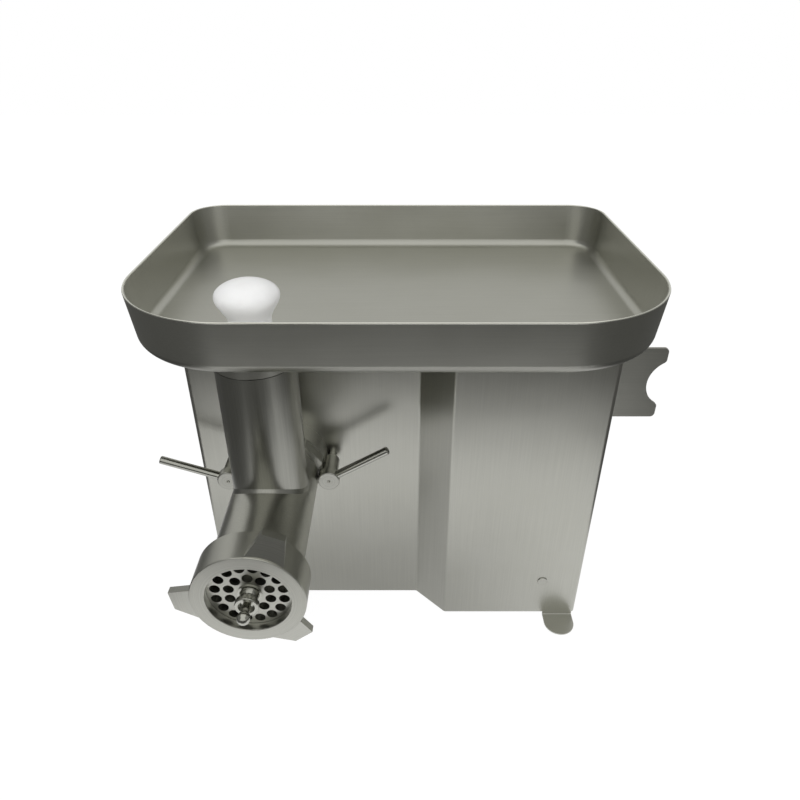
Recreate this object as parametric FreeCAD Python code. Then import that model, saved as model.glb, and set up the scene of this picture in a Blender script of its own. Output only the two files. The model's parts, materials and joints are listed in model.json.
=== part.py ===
import FreeCAD, Part
import math
import os

# Electric meat grinder, millimetres. +X right, +Y to the back, +Z up.
# The origin lies on the bench, on the middle plane of the housing, below its recessed front face.

Vector = FreeCAD.Vector

# Fits and gaps
SEAT_GAP = 0.3
RUNNING_FIT = 0.05
SLIP_FIT = 0.1
THREAD_GAP = 0.35

# Sheet-metal housing
SHEET = 1.5
HOUSING_WIDTH = 417.0
HOUSING_DEPTH = 190.0
HOUSING_BOTTOM = 8.5
HOUSING_TOP = 373.0
STEP_X = 22.9
STEP_DEPTH = 32.3
BEND_RADIUS = 4.5
REAR_RETURN = 18.0
LID_LIP = 12.0
BASE_SHEET = 2.0

# Feet: folded tabs welded to the lower edges of the sheets, with a rubber pad under each
PAD_HEIGHT = 3.0
PAD_RADIUS = 13.0
TAB_WIDTH = 34.0
TAB_REACH = 29.0
TAB_SIDE = 20.3
TAB_BEND = 2.5

# Side bracket
BRACKET_SHEET = 3.0
BRACKET_Y = 24.5
BRACKET_REACH = 64.7
BRACKET_Z = 286.0
BRACKET_HEIGHT = 81.0
BRACKET_CORNER = 4.5
BRACKET_NOTCH_RADIUS = 28.0
BRACKET_NOTCH_DEPTH = 15.4
BRACKET_FOOT = 30.0
BRACKET_SCREW_SPAN = 46.0

# Grinding head
AXIS_X = -118.5
AXIS_Z = 213.2
HEAD_REACH = 197.4
BARREL_RADIUS = 39.0
BARREL_BORE_RADIUS = 33.0
HEAD_WALL = 22.0
SOCKET_RADIUS = 45.5
FLANGE_THICKNESS = 12.0
EAR_REACH = 43.5
EAR_TOP = 15.9
EAR_BOTTOM = 14.8
SHOULDER_REACH = 27.5
SHOULDER_HEIGHT = 36.2
FLANGE_FOOT = 38.3
FLANGE_CORNER = 2.0
SOCKET_DEPTH = 23.0
SPIGOT_RADIUS = 31.0
SPIGOT_LENGTH = 8.0
TUBE_RADIUS = 34.5
TUBE_WALL = 4.0
TUBE_AHEAD = 73.8
TUBE_TOP = 365.0
WELD_LEG = 2.5
THREAD_RADIUS = 40.6
THREAD_LENGTH = 24.0

# Ring nut
RING_RADIUS = 47.0
RING_LENGTH = 30.0
RING_LIP = 7.1
RING_OPENING_RADIUS = 34.8
RING_EDGE = 0.8
WING_FIRST_ANGLE = 67.5
WING_COUNT = 3
WING_TIP_RADIUS = 65.7
WING_ROOT_WIDTH = 32.0
WING_TIP_WIDTH = 19.0
WING_THICKNESS = 6.5
WING_SETBACK = 1.2
WING_LEAN = 7.5

# Cutting plate and knife
PLATE_RADIUS = 37.0
PLATE_THICKNESS = 8.0
PLATE_BORE_RADIUS = 10.0
PLATE_HOLE_RADIUS = 4.4
OUTER_HOLES = 16
OUTER_HOLE_CIRCLE = 28.2
INNER_HOLES = 10
INNER_HOLE_CIRCLE = 17.4
KEY_PIN_RADIUS = 2.5
KEY_PIN_LENGTH = 12.0
KNIFE_RADIUS = 32.0
KNIFE_THICKNESS = 7.7
KNIFE_ARM_WIDTH = 13.0
KNIFE_HUB_RADIUS = 13.0
KNIFE_SQUARE = 14.0
KNIFE_SWEEP = 12.0

# Worm and its front stud
WORM_RADIUS = 32.0
WORM_CORE_RADIUS = 15.0
WORM_PITCH = 42.0
WORM_FLIGHT_ROOT = 9.0
WORM_FLIGHT_TIP = 5.0
WORM_JOURNAL_RADIUS = 14.0
WORM_TANG = 16.0
THRUST_WASHER = 2.0
THRUST_WASHER_RADIUS = 22.0
STUD_WAIST_RADIUS = 6.2
STUD_SHOULDER_RADIUS = 8.2
STUD_COLLAR_RADIUS = 9.8
STUD_COLLAR_FRONT = 204.0
STUD_COLLAR_LENGTH = 5.0
STUD_RECESS_RADIUS = 6.8
STUD_RECESS_DEPTH = 3.5
STUD_NECK_RADIUS = 3.3
STUD_BALL_RADIUS = 5.5
STUD_BALL_AHEAD = 214.5
STUD_SCREW_RADIUS = 6.0
STUD_SCREW_LENGTH = 22.0

# Clamp levers of the head
CLAMP_OFFSET = 50.2
STUD_RADIUS = 5.0
NUT_HEAD_RADIUS = 10.85
NUT_HEAD_LENGTH = 10.0
NUT_SLEEVE_RADIUS = 8.25
NUT_SLEEVE_LENGTH = 26.0
CLAMP_CAP = 3.0
CENTRE_MARK_RADIUS = 1.8
CENTRE_MARK_DEPTH = 1.2
ROD_RADIUS = 4.0
ROD_REACH = 69.0
ROD_SEAT = 4.0
RIGHT_ROD_ANGLE = 30.4
LEFT_ROD_ANGLE = 160.0

# Tray
TRAY_WIDTH = 459.0
TRAY_DEPTH = 324.0
TRAY_FRONT = 125.6
TRAY_HEIGHT = 46.5
TRAY_UNDERSIDE = 376.0
TRAY_SHEET = 2.0
TRAY_DRAFT = 5.0
TRAY_FRONT_CORNER = 100.0
TRAY_BACK_CORNER = 34.0
TRAY_BEND = 8.0
COLLAR_SPIGOT = 15.0
COLLAR_SPIGOT_WALL = 1.8

# Pusher
PUSHER_FLANGE_RADIUS = 37.0
PUSHER_FLANGE = 6.0
PUSHER_RADIUS = 27.0
PUSHER_LENGTH = 106.0
PUSHER_NECK_RADIUS = 17.5
PUSHER_NECK_FILLET = 6.0
PUSHER_KNOB_RADIUS = 26.0
PUSHER_HEIGHT = 50.7
PUSHER_CROWN = 10.0
PUSHER_TAPER = 24.0
PUSHER_EDGE = 2.0

# Gear train: motor pinion, layshaft gear, layshaft pinion, output gear
PRESSURE_ANGLE = 20.0
BACKLASH = 0.3
FAST_MODULE = 2.0
MOTOR_TEETH = 18
LAYSHAFT_TEETH = 63
SLOW_MODULE = 3.0
PINION_TEETH = 18
OUTPUT_TEETH = 45
LAYSHAFT_ANGLE = -8.0
MOTOR_ANGLE = -14.0
GEAR_WIDTH = 16.0
GEAR_GAP = 3.0
REAR_ROOM = 17.0
CASE_WALL = 6.0
CASE_ROOM = 4.0
COVER_THICKNESS = 6.0
COVER_RIB = 4.0
LUG_RADIUS = 7.0
OUTPUT_LUG_ANGLES = (95, 172, 250)
LAYSHAFT_LUG_ANGLES = (75, 265)
MOTOR_LUG_ANGLES = (35, 300)
BOLT_RADIUS = 3.0
BOLT_GRIP = 14.0
BOLT_HEAD_RADIUS = 5.0
BOLT_HEAD = 4.0

# Shafts and bearings
OUTPUT_SHAFT_RADIUS = 15.0
OUTPUT_BOSS_RADIUS = 19.0
OUTPUT_BOSS_LENGTH = 13.0
TANG_ENGAGEMENT = 12.0
LAYSHAFT_RADIUS = 10.0
MOTOR_SHAFT_RADIUS = 8.0
BEARING_WIDTH = 9.0
BEARING_SECTION = 8.0
NOSE_WALL = 7.0
NOSE_PLATE = 8.0
NOSE_PLATE_MARGIN = 14.0
SEAL_WIDTH = 6.0

# Motor
MOTOR_RADIUS = 60.0
MOTOR_FRONT_ROOM = 5.0
MOTOR_WALL = 5.0
MOTOR_FINS = 18
FIN_HEIGHT = 5.0
FIN_WIDTH = 3.0
ROTOR_RADIUS = 34.0
AIR_GAP = 0.4
WINDING_LENGTH = 11.0
WINDING_ROOM = 5.0
SHIELD_THICKNESS = 8.0
FAN_RADIUS = 40.0
FAN_WIDTH = 11.0
FAN_GAP = 2.0
FAN_BLADES = 7
FAN_HUB_RADIUS = 13.0
FAN_BLADE = 2.5
COWL_WALL = 1.5
COWL_GAP = 3.0
COWL_VENTS = 8
MOTOR_EAR_RADIUS = 7.0
CAPACITOR_RADIUS = 18.0
CAPACITOR_LENGTH = 80.0
CAPACITOR_X = 140.0
CAPACITOR_Y = 120.0
CLAMP_STRAP = 1.5
CLAMP_STRAP_WIDTH = 14.0

# Switch on the right side
SWITCH_Y = 100.0
SWITCH_Z = 190.0
SWITCH_WIDTH = 48.0
SWITCH_HEIGHT = 84.0
SWITCH_BEZEL = 6.0
SWITCH_CORNER = 6.0
SWITCH_BODY_DEPTH = 38.0
SWITCH_BODY_MARGIN = 5.0
SWITCH_WALL = 3.0
BUTTON_RADIUS = 12.0
BUTTON_PITCH = 36.0
BUTTON_PROUD = 5.0
BUTTON_STEM = 12.0
BUTTON_GAP = 0.5

# Rear: vents, cord gland and screws
VENT_LENGTH = 62.0
VENT_WIDTH = 5.0
VENT_PITCH = 13.0
VENT_ROWS = 7
VENT_COLUMN_X = 95.0
VENT_BOTTOM = 215.0
GLAND_X = 120.0
GLAND_Z = 60.0
GLAND_RADIUS = 11.0
GLAND_BORE_RADIUS = 4.5
GLAND_LENGTH = 20.0
GLAND_COLLAR = 6.0
GLAND_THREAD_RADIUS = 8.0
GLAND_NUT = 5.0
CASE_SCREW_RADIUS = 2.0
CASE_SCREW_HEAD_RADIUS = 4.0
CASE_SCREW_HEAD = 2.4
CASE_SCREW_GRIP = 8.0
REAR_SCREW_ROWS = 4
FACE_SCREW_SIDE = 43.2
FACE_SCREW_Z = 59.0
FACE_SCREW_HEAD_RADIUS = 5.5
FACE_SCREW_SINK = 1.2

# Places worked out from the driving dimensions
HALF_WIDTH = HOUSING_WIDTH / 2
TAB_X = HALF_WIDTH - TAB_SIDE
FACE_SCREW_X = HALF_WIDTH - FACE_SCREW_SIDE
REAR_FACE = HOUSING_DEPTH + SHEET
TUBE_Y = -TUBE_AHEAD
TUBE_BORE_RADIUS = TUBE_RADIUS - TUBE_WALL
FLANGE_BACK = -SOCKET_DEPTH
FLANGE_FRONT = FLANGE_BACK - FLANGE_THICKNESS
HEAD_WALL_FRONT = FLANGE_BACK - HEAD_WALL
RING_FACE = -HEAD_REACH
PLATE_FRONT = RING_FACE + RING_LIP + SEAT_GAP
PLATE_BACK = PLATE_FRONT + PLATE_THICKNESS
KNIFE_FRONT = PLATE_BACK + SEAT_GAP
KNIFE_BACK = KNIFE_FRONT + KNIFE_THICKNESS
BARREL_FRONT = PLATE_FRONT + 1.0
PLATE_SEAT_RADIUS = PLATE_RADIUS + SLIP_FIT
WORM_BACK = HEAD_WALL_FRONT - THRUST_WASHER - SEAT_GAP
TRAY_FLOOR = TRAY_UNDERSIDE + TRAY_SHEET
TRAY_RIM = TRAY_UNDERSIDE + TRAY_HEIGHT
COLLAR_BORE_RADIUS = TUBE_BORE_RADIUS - SEAT_GAP - COLLAR_SPIGOT_WALL
CLAMP_NUT_FRONT = FLANGE_FRONT - SEAT_GAP - NUT_HEAD_LENGTH
CLAMP_NUT_BACK = FLANGE_FRONT - SEAT_GAP + NUT_SLEEVE_LENGTH
ROD_Y = CLAMP_NUT_FRONT + NUT_HEAD_LENGTH / 2
NOSE_FRONT = SHEET
NOSE_PLATE_BACK = NOSE_FRONT + NOSE_PLATE
TANG_BACK = FLANGE_BACK + SPIGOT_LENGTH + TANG_ENGAGEMENT
BOSS_FRONT = TANG_BACK - TANG_ENGAGEMENT
BOSS_BACK = BOSS_FRONT + OUTPUT_BOSS_LENGTH + BEARING_WIDTH
COVER_BACK = HOUSING_DEPTH - REAR_ROOM
CASE_BACK = COVER_BACK - COVER_THICKNESS
CASE_FRONT = CASE_BACK - CASE_WALL - 2 * CASE_ROOM - 2 * GEAR_WIDTH - GEAR_GAP
GEARS_FRONT = CASE_FRONT + CASE_WALL + CASE_ROOM
SLOW_BACK = GEARS_FRONT + GEAR_WIDTH
FAST_FRONT = SLOW_BACK + GEAR_GAP
FAST_BACK = FAST_FRONT + GEAR_WIDTH
COWL_FRONT = SHEET + MOTOR_FRONT_ROOM + COWL_WALL
FAN_FRONT = COWL_FRONT + COWL_GAP
FAN_BACK = FAN_FRONT + FAN_WIDTH
SHIELD_FRONT = FAN_BACK + FAN_GAP
MOTOR_FRONT = SHIELD_FRONT + SHIELD_THICKNESS
MOTOR_LENGTH = CASE_FRONT - MOTOR_FRONT
ROTOR_LENGTH = MOTOR_LENGTH - 2 * (WINDING_LENGTH + WINDING_ROOM)
STATOR_RADIUS = MOTOR_RADIUS - MOTOR_WALL
ROTOR_FRONT = MOTOR_FRONT + (MOTOR_LENGTH - ROTOR_LENGTH) / 2
SIDE_FACE = HALF_WIDTH


def pitch_radius(module, teeth):
    return module * teeth / 2


def offset_point(start, distance, angle):
    turn = math.radians(angle)
    return (start[0] + distance * math.cos(turn), start[1] + distance * math.sin(turn))


SLOW_CENTRES = pitch_radius(SLOW_MODULE, PINION_TEETH + OUTPUT_TEETH)
FAST_CENTRES = pitch_radius(FAST_MODULE, MOTOR_TEETH + LAYSHAFT_TEETH)
OUTPUT_AXIS = (AXIS_X, AXIS_Z)
LAYSHAFT_AXIS = offset_point(OUTPUT_AXIS, SLOW_CENTRES, LAYSHAFT_ANGLE)
MOTOR_AXIS = offset_point(LAYSHAFT_AXIS, FAST_CENTRES, MOTOR_ANGLE)

# Sketch planes: the turn that lays a flat outline on the plane, and the plane's normal
PLANES = {
    "XY": (FreeCAD.Rotation(), Vector(0, 0, 1)),
    "XZ": (FreeCAD.Rotation(Vector(1, 0, 0), 90), Vector(0, 1, 0)),
    "YZ": (FreeCAD.Rotation(Vector(1, 1, 1), 120), Vector(1, 0, 0)),
}


def rounded_wire(corners):
    """Closed flat wire through (u, v, radius) corners, with tangent arcs."""
    points = [Vector(u, v, 0) for u, v, radius in corners]
    count = len(points)
    starts = []
    ends = []
    arcs = []
    for index, (u, v, radius) in enumerate(corners):
        corner = points[index]
        back = (points[index - 1] - corner).normalize()
        ahead = (points[(index + 1) % count] - corner).normalize()
        if radius <= 0:
            starts.append(corner)
            ends.append(corner)
            arcs.append(None)
            continue
        half = back.getAngle(ahead) / 2
        run = radius / math.tan(half)
        middle = corner + (back + ahead).normalize() * (radius / math.sin(half) - radius)
        starts.append(corner + back * run)
        ends.append(corner + ahead * run)
        arcs.append(Part.Arc(starts[-1], middle, ends[-1]).toShape())
    edges = []
    for index in range(count):
        if arcs[index] is not None:
            edges.append(arcs[index])
        following = starts[(index + 1) % count]
        if ends[index].distanceToPoint(following) > 1e-6:
            edges.append(Part.makeLine(ends[index], following))
    return Part.Wire(edges)


def wire_prism(wire, plane, start, end):
    turn, normal = PLANES[plane]
    face = Part.Face(wire)
    face.Placement = FreeCAD.Placement(normal * start, turn)
    return face.extrude(normal * (end - start))


def prism(corners, plane, start, end):
    return wire_prism(rounded_wire(corners), plane, start, end)


def rectangle(u0, u1, v0, v1, radius=0.0):
    return [(u0, v0, radius), (u1, v0, radius), (u1, v1, radius), (u0, v1, radius)]


def box(x0, x1, y0, y1, z0, z1):
    return Part.makeBox(x1 - x0, y1 - y0, z1 - z0, Vector(x0, y0, z0))


def rod_y(centre, radius, y0, y1):
    return Part.makeCylinder(radius, y1 - y0, Vector(centre[0], y0, centre[1]), Vector(0, 1, 0))


def ring_y(centre, outer, inner, y0, y1):
    return rod_y(centre, outer, y0, y1).cut(rod_y(centre, inner, y0, y1))


def rod_z(x, y, radius, z0, z1):
    return Part.makeCylinder(radius, z1 - z0, Vector(x, y, z0))


def rod_x(y, z, radius, x0, x1):
    return Part.makeCylinder(radius, x1 - x0, Vector(x0, y, z), Vector(1, 0, 0))


def turned_y(centre, outline):
    """Solid turned about a line along Y, from (radius, y) corners with an optional edge radius."""
    corners = [(point[0], point[1], point[2] if len(point) > 2 else 0.0) for point in outline]
    face = Part.Face(rounded_wire(corners))
    solid = face.revolve(Vector(0, 0, 0), Vector(0, 1, 0), 360)
    solid.translate(Vector(centre[0], 0, centre[1]))
    return solid


def turned_z(x, y, outline):
    """Solid turned about a vertical line, from (radius, z, edge radius) corners."""
    face = Part.Face(rounded_wire(outline))
    face.Placement = FreeCAD.Placement(Vector(0, 0, 0), PLANES["XZ"][0])
    solid = face.revolve(Vector(0, 0, 0), Vector(0, 0, 1), 360)
    solid.translate(Vector(x, y, 0))
    return solid


def fused(shapes):
    whole = shapes[0]
    for shape in shapes[1:]:
        whole = whole.fuse(shape)
    return whole.removeSplitter()


def about_axis(shape, centre, degrees):
    turned = shape.copy()
    turned.rotate(Vector(centre[0], 0, centre[1]), Vector(0, -1, 0), degrees)
    return turned


def save(name, shape):
    if isinstance(shape, list):
        shape = Part.makeCompound(shape)
    shape.exportStep("parts/" + name + ".step")


# Housing


def housing_outline(inset):
    outer = rounded_wire(
        [
            (-HALF_WIDTH, HOUSING_DEPTH, BEND_RADIUS),
            (-HALF_WIDTH, 0, BEND_RADIUS),
            (STEP_X, 0, BEND_RADIUS),
            (STEP_X + STEP_DEPTH, -STEP_DEPTH, BEND_RADIUS),
            (HALF_WIDTH, -STEP_DEPTH, BEND_RADIUS),
            (HALF_WIDTH, HOUSING_DEPTH, BEND_RADIUS),
        ]
    )
    return outer.makeOffset2D(-inset) if inset else outer


def foot_tab(x, face_y, outwards):
    """Tab under a sheet whose outer face is at face_y, folded out; outwards is -1 at the front."""
    low = PAD_HEIGHT
    inside = face_y - outwards * SHEET
    tip = face_y + outwards * TAB_REACH
    leg = prism(
        [
            (face_y, HOUSING_BOTTOM, 0),
            (inside, HOUSING_BOTTOM, 0),
            (inside, low, TAB_BEND),
            (tip, low, 0),
            (tip, low + SHEET, 0),
            (face_y, low + SHEET, TAB_BEND - SHEET),
        ],
        "YZ",
        x - TAB_WIDTH / 2,
        x + TAB_WIDTH / 2,
    )
    corner = TAB_WIDTH / 2 - 0.01
    span = sorted((inside, tip))
    tongue = rectangle(x - TAB_WIDTH / 2, x + TAB_WIDTH / 2, span[0], span[1])
    rounded = [
        (u, v, corner if abs(v - tip) < 1e-9 else 0.0) for u, v, radius in tongue
    ]
    return leg.common(prism(rounded, "XY", 0, HOUSING_BOTTOM))


def pad_centre_y(face_y, outwards):
    return face_y + outwards * (TAB_REACH - TAB_WIDTH / 2)


def foot_places():
    """Tab middle, face and outward direction for the four feet."""
    return [
        (-TAB_X, 0.0, -1),
        (TAB_X, -STEP_DEPTH, -1),
        (-TAB_X, REAR_FACE, 1),
        (TAB_X, REAR_FACE, 1),
    ]


def rear_screw_places():
    step = (HOUSING_TOP - HOUSING_BOTTOM - 2 * REAR_RETURN) / (REAR_SCREW_ROWS - 1)
    edge = HALF_WIDTH - REAR_RETURN / 2
    return [
        (side * edge, HOUSING_BOTTOM + REAR_RETURN + row * step)
        for side in (-1, 1)
        for row in range(REAR_SCREW_ROWS)
    ]


def bracket_screw_places():
    y = BRACKET_Y + BRACKET_SHEET + (BRACKET_FOOT - BRACKET_SHEET) / 2
    return [(y, BRACKET_Z + side * BRACKET_SCREW_SPAN / 2) for side in (-1, 1)]


def clamp_centres():
    return [(AXIS_X - CLAMP_OFFSET, AXIS_Z), (AXIS_X + CLAMP_OFFSET, AXIS_Z)]


def switch_opening(margin):
    half_y = SWITCH_WIDTH / 2 - margin
    half_z = SWITCH_HEIGHT / 2 - margin
    return rectangle(SWITCH_Y - half_y, SWITCH_Y + half_y, SWITCH_Z - half_z, SWITCH_Z + half_z)


def make_housing_shell():
    shell = wire_prism(housing_outline(0), "XY", HOUSING_BOTTOM, HOUSING_TOP)
    shell = shell.cut(wire_prism(housing_outline(SHEET), "XY", HOUSING_BOTTOM, HOUSING_TOP))
    rear = HALF_WIDTH - REAR_RETURN
    shell = shell.cut(
        box(-rear, rear, HOUSING_DEPTH - 2 * SHEET, HOUSING_DEPTH, HOUSING_BOTTOM, HOUSING_TOP)
    )
    shell = shell.cut(rod_y(OUTPUT_AXIS, SPIGOT_RADIUS, 0, SHEET))
    for centre in clamp_centres():
        shell = shell.cut(rod_y(centre, STUD_RADIUS + SLIP_FIT, 0, SHEET))
    for place in socket_screw_places():
        shell = shell.cut(rod_y(place, BOLT_RADIUS, 0, SHEET))
    face = -STEP_DEPTH
    shell = shell.cut(rod_y((FACE_SCREW_X, FACE_SCREW_Z), CASE_SCREW_RADIUS, face, face + SHEET))
    for x, z in rear_screw_places():
        shell = shell.cut(
            rod_y((x, z), CASE_SCREW_RADIUS, HOUSING_DEPTH - SHEET, HOUSING_DEPTH)
        )
    for y, z in bracket_screw_places():
        shell = shell.cut(rod_x(y, z, CASE_SCREW_RADIUS, SIDE_FACE - SHEET, SIDE_FACE))
    window = prism(switch_opening(SWITCH_BODY_MARGIN), "YZ", SIDE_FACE - SHEET, SIDE_FACE)
    return shell.cut(window)


def make_top_plate():
    lid = wire_prism(housing_outline(0), "XY", HOUSING_TOP, HOUSING_TOP + SHEET)
    lip_out = SHEET + SLIP_FIT
    lip = wire_prism(housing_outline(lip_out), "XY", HOUSING_TOP - LID_LIP, HOUSING_TOP)
    hollow = housing_outline(lip_out + SHEET)
    lip = lip.cut(wire_prism(hollow, "XY", HOUSING_TOP - LID_LIP, HOUSING_TOP))
    rear_edge = HOUSING_DEPTH - SHEET - SLIP_FIT - BEND_RADIUS
    low = HOUSING_TOP - LID_LIP
    lip = lip.cut(box(-HALF_WIDTH, HALF_WIDTH, rear_edge, HOUSING_DEPTH, low, HOUSING_TOP))
    return fused([lid, lip])


def vent_slots(plane, start, end, centre_u, bottom_v):
    slots = []
    for row in range(VENT_ROWS):
        low = bottom_v + row * VENT_PITCH
        half = VENT_LENGTH / 2
        end_radius = VENT_WIDTH / 2 - 0.01
        corners = rectangle(centre_u - half, centre_u + half, low, low + VENT_WIDTH, end_radius)
        slots.append(prism(corners, plane, start, end))
    return slots


def make_base_plate():
    inset = SHEET + SLIP_FIT
    plate = wire_prism(
        housing_outline(inset), "XY", HOUSING_BOTTOM, HOUSING_BOTTOM + BASE_SHEET
    )
    middle = HOUSING_DEPTH / 2 - VENT_ROWS * VENT_PITCH / 2
    for side in (-1, 1):
        for slot in vent_slots(
            "XY", HOUSING_BOTTOM, HOUSING_BOTTOM + BASE_SHEET, side * VENT_COLUMN_X, middle
        ):
            plate = plate.cut(slot)
    return plate


def make_rear_panel():
    edge = HALF_WIDTH - SHEET
    panel = prism(
        rectangle(-edge, edge, HOUSING_BOTTOM, HOUSING_TOP, BEND_RADIUS),
        "XZ",
        HOUSING_DEPTH,
        REAR_FACE,
    )
    for side in (-1, 1):
        for slot in vent_slots("XZ", HOUSING_DEPTH, REAR_FACE, side * VENT_COLUMN_X, VENT_BOTTOM):
            panel = panel.cut(slot)
    panel = panel.cut(rod_y((GLAND_X, GLAND_Z), GLAND_THREAD_RADIUS, HOUSING_DEPTH, REAR_FACE))
    for place in rear_screw_places():
        panel = panel.cut(rod_y(place, CASE_SCREW_RADIUS, HOUSING_DEPTH, REAR_FACE))
    return panel


def make_foot_tabs():
    return [foot_tab(*place) for place in foot_places()]


def make_foot_pads():
    pads = []
    for x, face_y, outwards in foot_places():
        y = pad_centre_y(face_y, outwards)
        pad = turned_z(
            x,
            y,
            [
                (0, 0, 0),
                (PAD_RADIUS, 0, PAD_HEIGHT / 3),
                (PAD_RADIUS, PAD_HEIGHT, 0),
                (0, PAD_HEIGHT, 0),
            ],
        )
        pads.append(pad)
    return pads


def pan_screw(shank_start, direction, grip, shank, head_radius, head):
    """Pan-head screw whose head stands out along direction from shank_start."""
    body = Part.makeCylinder(shank, grip, shank_start, direction * -1)
    cap = Part.makeCylinder(head_radius, head, shank_start, direction)
    rim = [edge for edge in cap.Edges if edge.CenterOfMass.distanceToPoint(shank_start) > head / 2]
    rim = [edge for edge in rim if edge.Curve.TypeId == "Part::GeomCircle"]
    return fused([cap.makeFillet(head / 2, rim), body])


def case_screw(start, direction, grip=CASE_SCREW_GRIP):
    return pan_screw(
        start, direction, grip, CASE_SCREW_RADIUS, CASE_SCREW_HEAD_RADIUS, CASE_SCREW_HEAD
    )


def make_case_screws():
    screws = [
        case_screw(Vector(x, REAR_FACE, z), Vector(0, 1, 0)) for x, z in rear_screw_places()
    ]
    face = -STEP_DEPTH
    dish = turned_y(
        (FACE_SCREW_X, FACE_SCREW_Z),
        [
            (0, face - FACE_SCREW_SINK),
            (FACE_SCREW_HEAD_RADIUS, face - FACE_SCREW_SINK, FACE_SCREW_SINK / 2),
            (FACE_SCREW_HEAD_RADIUS, face),
            (CASE_SCREW_RADIUS, face),
            (CASE_SCREW_RADIUS, face + CASE_SCREW_GRIP),
            (0, face + CASE_SCREW_GRIP),
        ],
    )
    return screws + [dish]


def make_side_bracket():
    x0 = SIDE_FACE
    tip = x0 + BRACKET_REACH
    low = BRACKET_Z - BRACKET_HEIGHT / 2
    high = BRACKET_Z + BRACKET_HEIGHT / 2
    outline = [
        (x0, low, 0),
        (tip, low, BRACKET_CORNER),
        (tip, high, BRACKET_CORNER),
        (x0, high, 0),
    ]
    back = BRACKET_Y + BRACKET_SHEET
    plate = prism(outline, "XZ", BRACKET_Y, back)
    notch_x = tip - BRACKET_NOTCH_DEPTH + BRACKET_NOTCH_RADIUS
    notch = rod_y((notch_x, BRACKET_Z), BRACKET_NOTCH_RADIUS, BRACKET_Y, back)
    plate = plate.cut(notch)
    horns = [
        edge
        for edge in plate.Edges
        if edge.BoundBox.XLength < 1e-6
        and edge.BoundBox.ZLength < 1e-6
        and abs(edge.BoundBox.XMin - tip) < 1e-6
        and abs(edge.BoundBox.ZMin - BRACKET_Z) < BRACKET_NOTCH_RADIUS
    ]
    plate = plate.makeFillet(BRACKET_CORNER, horns)
    foot = box(x0, x0 + BRACKET_SHEET, BRACKET_Y, BRACKET_Y + BRACKET_FOOT, low, high)
    bracket = fused([plate, foot])
    for y, z in bracket_screw_places():
        bracket = bracket.cut(rod_x(y, z, CASE_SCREW_RADIUS, x0, x0 + BRACKET_SHEET))
    return bracket


def make_bracket_screws():
    start = SIDE_FACE + BRACKET_SHEET
    return [case_screw(Vector(start, y, z), Vector(1, 0, 0)) for y, z in bracket_screw_places()]


def make_cable_gland():
    tip = REAR_FACE + GLAND_LENGTH
    root = HOUSING_DEPTH - GLAND_NUT - 1.0
    body = turned_y(
        (GLAND_X, GLAND_Z),
        [
            (GLAND_BORE_RADIUS, root),
            (GLAND_THREAD_RADIUS, root),
            (GLAND_THREAD_RADIUS, REAR_FACE),
            (GLAND_RADIUS, REAR_FACE),
            (GLAND_RADIUS, REAR_FACE + GLAND_COLLAR),
            (GLAND_RADIUS - 1.0, REAR_FACE + GLAND_COLLAR),
            (GLAND_RADIUS - 1.0, tip, 3.0),
            (GLAND_BORE_RADIUS, tip),
        ],
    )
    return body


def make_gland_nut():
    corners = []
    for side in range(6):
        u, v = offset_point((GLAND_X, GLAND_Z), GLAND_RADIUS + 1.5, 60 * side)
        corners.append((u, v, 0))
    nut = prism(corners, "XZ", HOUSING_DEPTH - GLAND_NUT, HOUSING_DEPTH)
    return nut.cut(
        rod_y((GLAND_X, GLAND_Z), GLAND_THREAD_RADIUS, HOUSING_DEPTH - GLAND_NUT, HOUSING_DEPTH)
    )


# Switch on the right side


def button_places():
    return {
        "start_button": (SWITCH_Y, SWITCH_Z + BUTTON_PITCH / 2),
        "stop_button": (SWITCH_Y, SWITCH_Z - BUTTON_PITCH / 2),
    }


def make_switch_housing():
    half_y = SWITCH_WIDTH / 2
    half_z = SWITCH_HEIGHT / 2
    bezel = prism(
        rectangle(
            SWITCH_Y - half_y,
            SWITCH_Y + half_y,
            SWITCH_Z - half_z,
            SWITCH_Z + half_z,
            SWITCH_CORNER,
        ),
        "YZ",
        SIDE_FACE,
        SIDE_FACE + SWITCH_BEZEL,
    )
    back = SIDE_FACE - SWITCH_BODY_DEPTH
    body = prism(switch_opening(SWITCH_BODY_MARGIN), "YZ", back, SIDE_FACE)
    room = prism(
        switch_opening(SWITCH_BODY_MARGIN + SWITCH_WALL), "YZ", back + SWITCH_WALL, SIDE_FACE
    )
    switch = fused([bezel, body.cut(room)])
    for y, z in button_places().values():
        switch = switch.cut(
            rod_x(y, z, BUTTON_RADIUS + BUTTON_GAP, SIDE_FACE, SIDE_FACE + SWITCH_BEZEL)
        )
    return switch


def make_button(y, z):
    face = SIDE_FACE + SWITCH_BEZEL + BUTTON_PROUD
    cap = Part.makeCylinder(
        BUTTON_RADIUS, face - SIDE_FACE, Vector(SIDE_FACE, y, z), Vector(1, 0, 0)
    )
    rim = [edge for edge in cap.Edges if edge.CenterOfMass.x > face - 1e-6]
    cap = cap.makeFillet(BUTTON_PROUD / 3, rim)
    stem_radius = BUTTON_RADIUS / 2
    return fused([cap, rod_x(y, z, stem_radius, SIDE_FACE - BUTTON_STEM, SIDE_FACE)])


# Head, socket and clamps


def scallops(y0, y1):
    radius = NUT_SLEEVE_RADIUS + SEAT_GAP
    return [rod_y(centre, radius, y0, y1) for centre in clamp_centres()]


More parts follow.
